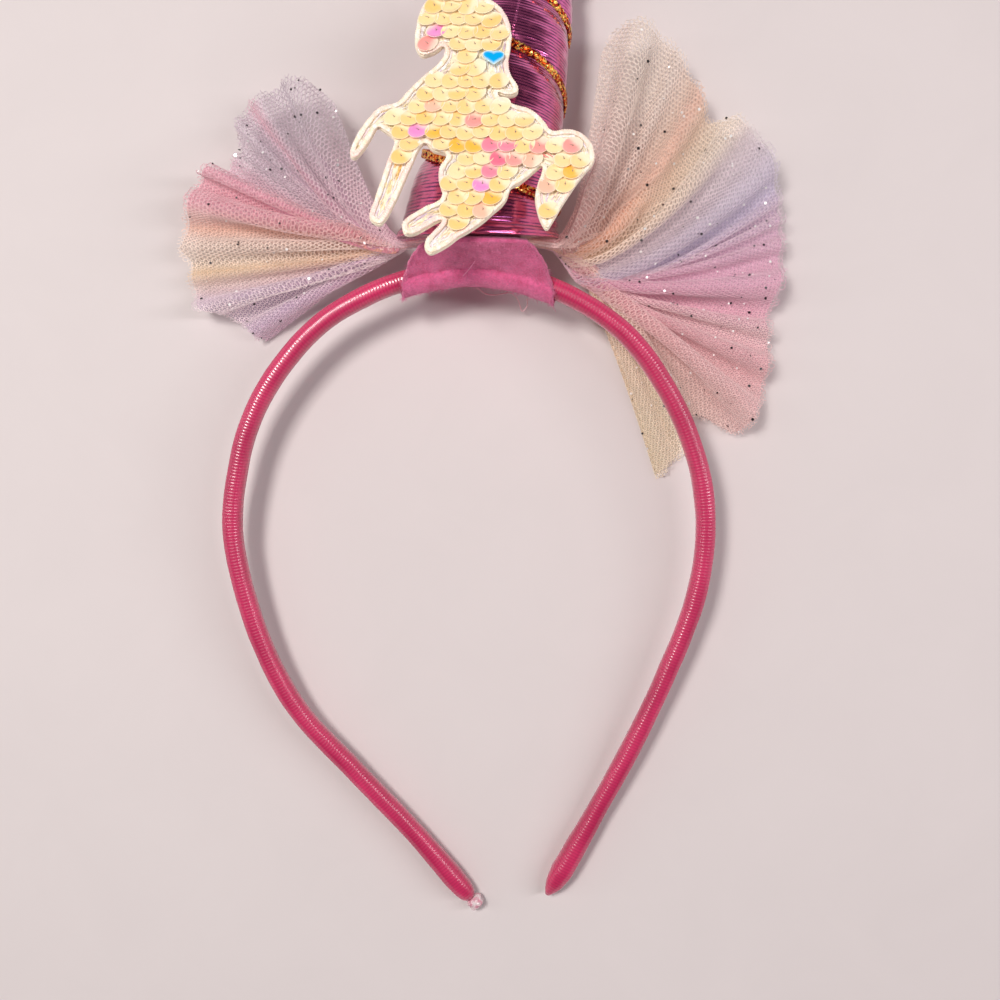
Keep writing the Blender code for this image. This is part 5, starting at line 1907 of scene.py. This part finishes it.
@dataclass
class Sequins:
    """The pearly sequins in staggered rows, each sewn down through its hole."""

    pitch: float = FIGURE.width / 15
    start: tuple[float, float] = (0.125, -0.75)
    radius: float = 0.00212
    hole: float = 0.00017
    rim: float = 0.00014
    stretch: float = 0.15
    segments: int = 30
    rows: int = 26
    columns: int = 17
    edge_room: float = 0.00175
    heart_room: float = 0.0026
    wander: float = 0.00012
    lift: float = 0.00026
    tilt: tuple[float, float] = (0.06, 0.2)
    tilt_spread: tuple[float, float] = (0.07, 0.05)
    painted_sheen: float = 0.72  # the painted sheen: how pale the lit side of a sequin is painted, from 0 to 1
    # how strongly the rim is painted pale: a painted highlight
    painted_rim_highlight: float = 0.7
    stitch_reach: float = 0.0007
    stitch_bow: float = 0.00014
    stitch_radius: float = 0.00006

    def places(self) -> Array:
        """The middles of the sequins in the figure's plane, row by row from below."""
        row_step = self.pitch * math.sqrt(3) / 2
        row, number = np.meshgrid(np.arange(self.rows), np.arange(self.columns), indexing="ij")
        x = (number + 0.5 * (row % 2) + self.start[0]) * self.pitch
        y = (row + self.start[1]) * row_step
        flat = np.stack([x.ravel(), y.ravel()], axis=-1)
        depth, _ = FIGURE.nearest(flat)
        away = np.linalg.norm(flat - np.array(HEART_PLACE) * FIGURE.width, axis=1)
        return flat[(depth > self.edge_room) & (away > self.heart_room)]

    def disc(self) -> tuple[Array, Array, Array]:
        """One sequin: its corners, its faces and how strongly each corner takes the painted rim highlight.
        """
        radii = np.array([self.hole, self.radius * 0.45, self.radius - self.rim * 1.6])
        radii = np.append(radii, [self.radius - self.rim * 0.6, self.radius, self.radius - 0.00004])
        heights = np.array([0.00004, 0.0, 0.00002, 0.00012, 0.00009, -0.00003])
        turn = 2 * math.pi * np.arange(self.segments) / self.segments
        ring = np.stack([np.cos(turn), np.sin(turn)], axis=-1)
        points = np.zeros((len(radii), self.segments, 3))
        points[..., :2] = radii[:, None, None] * ring
        longer = points[..., :2] @ np.array([[0.5], [0.5]]) * self.stretch
        points[..., :2] = points[..., :2] * (1 - self.stretch / 2) + longer * 2
        points[..., 2] = heights[:, None]
        faces = triangles(grid_faces(len(radii), self.segments, ring=True))
        # The raised rim's corners take the painted rim highlight.
        pale = np.repeat([0.0, 0.0, 0.06, 0.75, 1.0, 0.8], self.segments)
        return points.reshape(-1, 3), faces, pale

    def tints(self, flat: Array, random: np.random.Generator) -> Array:
        """Each sequin's own colour."""
        gold, cream = np.array(srgb(252, 206, 124)), np.array(srgb(252, 226, 168))
        tint = gold + (cream - gold) * random.random((len(flat), 1))
        row = np.rint(flat[:, 1] / (self.pitch * math.sqrt(3) / 2) - self.start[1])
        number = np.rint(flat[:, 0] / self.pitch - 0.5 * (row % 2) - self.start[0])
        for shade, seats in ODD_SEQUINS.items():
            for seat in seats:
                tint[(row == seat[0]) & (number == seat[1])] = shade.value
        return tint

    def build(self) -> Array:
        """The sequins and the stitches in their holes.

        Returns:
            The middles of the sequins in the figure's plane.
        """
        random = np.random.default_rng(SEED + 1)
        flat = self.places()
        count = len(flat)
        shape, faces, pale = self.disc()
        _, across, up, out = FIGURE.axes()
        tip = random.normal(size=(count, 2)) * self.tilt_spread + self.tilt
        normal = unit(out + tip[:, :1] * across * 0.6 + tip[:, 1:] * up)
        side = unit(np.cross(np.cross(normal, across), normal))
        frames = np.stack([side, np.cross(normal, side), normal], axis=1)
        moved = flat + random.normal(size=(count, 2)) * self.wander
        places = FIGURE.lay(moved, FIGURE.cloth + 2 * CLEARANCE + self.lift)
        corners, numbers = copies(shape, faces, frames, places)
        tint = self.tints(flat, random)
        tint = np.repeat(tint[:, None], len(shape), axis=1)
        # Each sequin is painted paler towards pale cream on one side and on its rim: a painted highlight.
        turn = random.normal(size=(count, 1)) * 0.5 + 0.9
        slope = (shape[:, 0] * np.cos(turn) + shape[:, 1] * np.sin(turn)) / self.radius
        edge = random.uniform(0.1, 0.5, (count, 1))
        light = self.painted_sheen / (1 + np.exp(-(slope - edge) * 11))
        light = np.clip(light + pale[None] * self.painted_rim_highlight, 0, 1)[..., None]
        tint = tint + (np.array(srgb(255, 244, 218)) - tint) * light
        made = mesh_piece(
            "sequins",
            corners.reshape(-1, 3),
            numbers,
            sequin_finish(),
            tint=tint.reshape(-1, 3),
        )
        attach(made, "root")
        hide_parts("unicorn_sequins")
        self.holds(places, frames, random)
        return flat

    def holds(self, places: Array, frames: Array, random: np.random.Generator) -> None:
        """The short dark stitches that hold the sequins."""
        section = oval(5, self.stitch_radius, self.stitch_radius)
        tubes = []
        for place, axes in zip(places, frames):
            turn = random.normal() * 0.5 + 2.3
            way = axes[0] * math.cos(turn) + axes[1] * math.sin(turn)
            reach = np.linspace(-0.1, 1.0, 6)[:, None] * self.stitch_reach
            bow = np.sin(np.linspace(0, math.pi, 6))[:, None] * self.stitch_bow
            path = place + way * reach + axes[2] * (bow - 0.00002)
            tubes.append(sweep(path, axes[2], section))
        tube = joined(tubes)
        finish = hair_finish("sequin_stitch", srgb(186, 162, 150))
        made = mesh_piece("sequin_stitches", tube.points, tube.faces, finish, uv=tube.uv)
        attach(made, "root")


@dataclass
class HeartSequin:
    """The one blue heart."""

    width: float = 0.0047
    height: float = 0.0037
    thickness: float = 0.0004
    rim: float = 0.00020

    def build(self) -> bpy.types.Object:
        """A heart-shaped plate with a paler edge."""
        turn = 2 * math.pi * np.arange(72) / 72
        wide = np.sin(turn) ** 3 / 2
        tall = (13 * np.cos(turn) - 3.2 * np.cos(2 * turn) - 1.2 * np.cos(3 * turn)) / 28
        outline = np.stack([wide * self.width, tall * self.height], axis=-1)
        made = plate("blue_heart", outline, self.thickness, 0.00008)
        select_only(made)
        bpy.ops.object.mode_set(mode="EDIT")
        bpy.ops.mesh.select_all(action="SELECT")
        bpy.ops.mesh.subdivide(number_cuts=3)
        bpy.ops.object.mode_set(mode="OBJECT")
        points = np.array([corner.co for corner in made.data.vertices])
        away = np.linalg.norm(points[:, None, :2] - outline[None], axis=-1).min(axis=1)
        pale = 1 / (1 + np.exp((away - self.rim) / 0.00005))
        blue, edge = np.array(srgb(0, 172, 240)), np.array(srgb(214, 244, 250))
        tint = blue + (edge - blue) * pale[:, None]
        colours = np.ones((len(points), 4), np.float32)
        colours[:, :3] = tint
        attribute = made.data.color_attributes.new("tint", "FLOAT_COLOR", "POINT")
        attribute.data.foreach_set("color", colours.ravel())
        points[:, 2] += FIGURE.cloth + 3 * CLEARANCE + 0.0005
        middle = np.array(HEART_PLACE) * FIGURE.width
        points = FIGURE.lay(points[:, :2] + middle, points[:, 2])
        made.data.vertices.foreach_set("co", points.ravel().astype(np.float32))
        made.data.materials.append(heart_finish())
        made.data.update()
        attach(made, "root")
        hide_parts("heart_sequin")
        return made


@dataclass
class LooseThreads:
    """A hair on the felt and the loose ends of thread at its lower edge."""

    # A bend is the picture's pixels across and down, and the height in metres
    hair: tuple[tuple[float, float, float], ...] = (
        (484, 243, 0.0240), (478, 256, 0.0244), (470, 268, 0.0243), (463, 276, 0.0238),
    )
    thread: tuple[tuple[float, float, float], ...] = (
        (474, 285, 0.0100), (484, 293, 0.0080), (495, 295, 0.0075), (510, 293, 0.0070),
        (518, 300, 0.0050), (522, 311, 0.0035), (527, 306, 0.0050), (527, 299, 0.0070),
    )
    end: tuple[tuple[float, float, float], ...] = (
        (551, 301, 0.0080), (553, 306, 0.0070), (556, 312, 0.0062),
    )

    def strand(self, name: str, bends: Sequence, radius: float, colour: Colour) -> None:
        """One thread through its bends."""
        line = smooth_line(np.array([VIEW.place(*bend) for bend in bends]), 8)
        tube = sweep(line, np.array([0, 0, 1.0]), oval(6, radius, radius))
        made = mesh_piece(name, tube.points, tube.faces, hair_finish(name, colour), uv=tube.uv)
        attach(made, "root")

    def build(self) -> None:
        """The three strands."""
        self.strand("felt_hair", self.hair, 0.00007, srgb(222, 140, 176))
        self.strand("loose_thread", self.thread, 0.00014, srgb(236, 190, 196))
        self.strand("thread_end", self.end, 0.00013, srgb(228, 190, 200))


class Strip(NamedTuple):
    """A long narrow light that draws a streak along the satin and the lamé."""

    name: str
    place: tuple[float, float, float]
    size: tuple[float, float]
    power: float
    colour: Colour


@dataclass
class Stage:
    """The plain pale surface, the soft light and the camera."""

    floor: float = 1.4
    floor_colour: Colour = srgb(217, 208, 207)
    low_sky: float = 0.9
    high_sky: float = 0.05
    key_power: float = 4.4
    key_size: float = 0.16
    key_from: tuple[float, float, float] = (-0.34, 0.2, 1.0)
    key_distance: float = 0.8
    right_strip: Strip = Strip("strip", (0.52, 0.02, 0.58), (0.07, 0.6), 2.4, (1.0, 0.95, 0.98))
    left_strip: Strip = Strip("rim", (-0.56, 0.0, 0.52), (0.03, 0.7), 0.9, (1.0, 0.97, 0.97))

    def ground(self) -> None:
        """The floor."""
        deselect()
        bpy.ops.mesh.primitive_plane_add(size=self.floor)
        floor = bpy.context.active_object
        floor.name = "floor"
        made = Finish("floor_matt", {"Roughness": 0.85})
        mottled, _ = made.fibres(self.floor_colour, 0.03, 0.012)
        made.colour(mottled)
        floor.data.materials.append(made.material)

    def area(
        self, name: str, place: Array, aim: Array, size: tuple[float, float], power: float, colour: Colour
    ) -> None:
        """A rectangular soft light.

        Args:
            name: its name.
            place: where it stands.
            aim: the point that it faces.
            size: its width and height.
            power: watts.
            colour: its colour.
        """
        data = bpy.data.lights.new(name, "AREA")
        data.shape, data.size, data.size_y = "RECTANGLE", *size
        data.energy, data.color = power, colour
        light = bpy.data.objects.new(name, data)
        light.location = place
        light.rotation_euler = Vector(aim - place).to_track_quat("-Z", "Y").to_euler()
        bpy.context.scene.collection.objects.link(light)

    def lights(self) -> None:
        """The key light, a strip on each side and the sky."""
        centre = np.array([0.0, -0.02, 0.01])
        key = unit(np.array(self.key_from)) * self.key_distance
        size = (self.key_size, self.key_size)
        self.area("key", centre + key, centre, size, self.key_power, (1.0, 0.97, 0.94))
        for strip in (self.right_strip, self.left_strip):
            self.area(strip.name, np.array(strip.place), centre, strip.size, strip.power, strip.colour)
        world = bpy.data.worlds.new("soft_room")
        world.use_nodes = True
        tree = world.node_tree
        way = tree.nodes.new("ShaderNodeTexCoord")
        split = tree.nodes.new("ShaderNodeSeparateXYZ")
        height = tree.nodes.new("ShaderNodeMapRange")
        reach = (("From Min", 0.1), ("From Max", 0.5), ("To Min", self.low_sky), ("To Max", self.high_sky))
        for socket, value in reach:
            height.inputs[socket].default_value = value
        height.interpolation_type = "SMOOTHSTEP"
        sky = tree.nodes["Background"]
        sky.inputs["Color"].default_value = (1.0, 0.95, 0.97, 1.0)
        tree.links.new(way.outputs["Generated"], split.inputs[0])
        tree.links.new(split.outputs["Z"], height.inputs["Value"])
        tree.links.new(height.outputs["Result"], sky.inputs["Strength"])
        bpy.context.scene.world = world
        bpy.context.scene.view_settings.view_transform = "Standard"

    def camera(self) -> None:
        """The photograph's camera."""
        data = bpy.data.cameras.new("photo_view")
        data.sensor_width = 36.0
        data.lens = 18.0 / (VIEW.field / 2 / VIEW.height)
        data.clip_start = 0.01
        made = bpy.data.objects.new("photo_view", data)
        made.location = np.array([*VIEW.middle, VIEW.height]) + SHIFT
        bpy.context.scene.collection.objects.link(made)
        bpy.context.scene.camera = made

    def build(self) -> None:
        """The floor, the lights and the camera."""
        self.ground()
        self.lights()
        self.camera()


LEFT_TULLE = TulleFan(
    name="left_tulle",
    node="tulle_fan_left",
    finish=Piece.NET_LEFT,
    rim=LEFT_RIM,
    stripes=LEFT_STRIPES,
    exit_x=-0.0142,
    outward=-1,
    cloth=0.125,
    pleats=10,
    flakes=130,
    seed=21,
)
RIGHT_TULLE = TulleFan(
    name="right_tulle",
    node="tulle_fan_right",
    finish=Piece.NET_RIGHT,
    rim=RIGHT_RIM,
    stripes=RIGHT_STRIPES,
    exit_x=0.0186,
    outward=1,
    cloth=0.180,
    pleats=14,
    flakes=220,
    seed=31,
)


def main() -> None:
    """Builds every piece in order, then the stage."""
    logging.basicConfig(level=logging.INFO, format="%(message)s")
    SatinBand().build()
    LOG.info("satin band")
    GlueDab().build()
    LOG.info("glue dab")
    StuffedHorn().build()
    LOG.info("stuffed horn")
    GlitterCord().build()
    LOG.info("glitter cord")
    FeltBase().build()
    LOG.info("felt base")
    LEFT_TULLE.build()
    LOG.info("left tulle")
    RIGHT_TULLE.build()
    LOG.info("right tulle")
    places = Sequins().build()
    LOG.info("sequins")
    FigurePatch().build(places)
    LOG.info("figure")
    HeartSequin().build()
    LOG.info("heart")
    LooseThreads().build()
    LOG.info("loose threads")
    Stage().build()


if __name__ == "__main__":
    main()
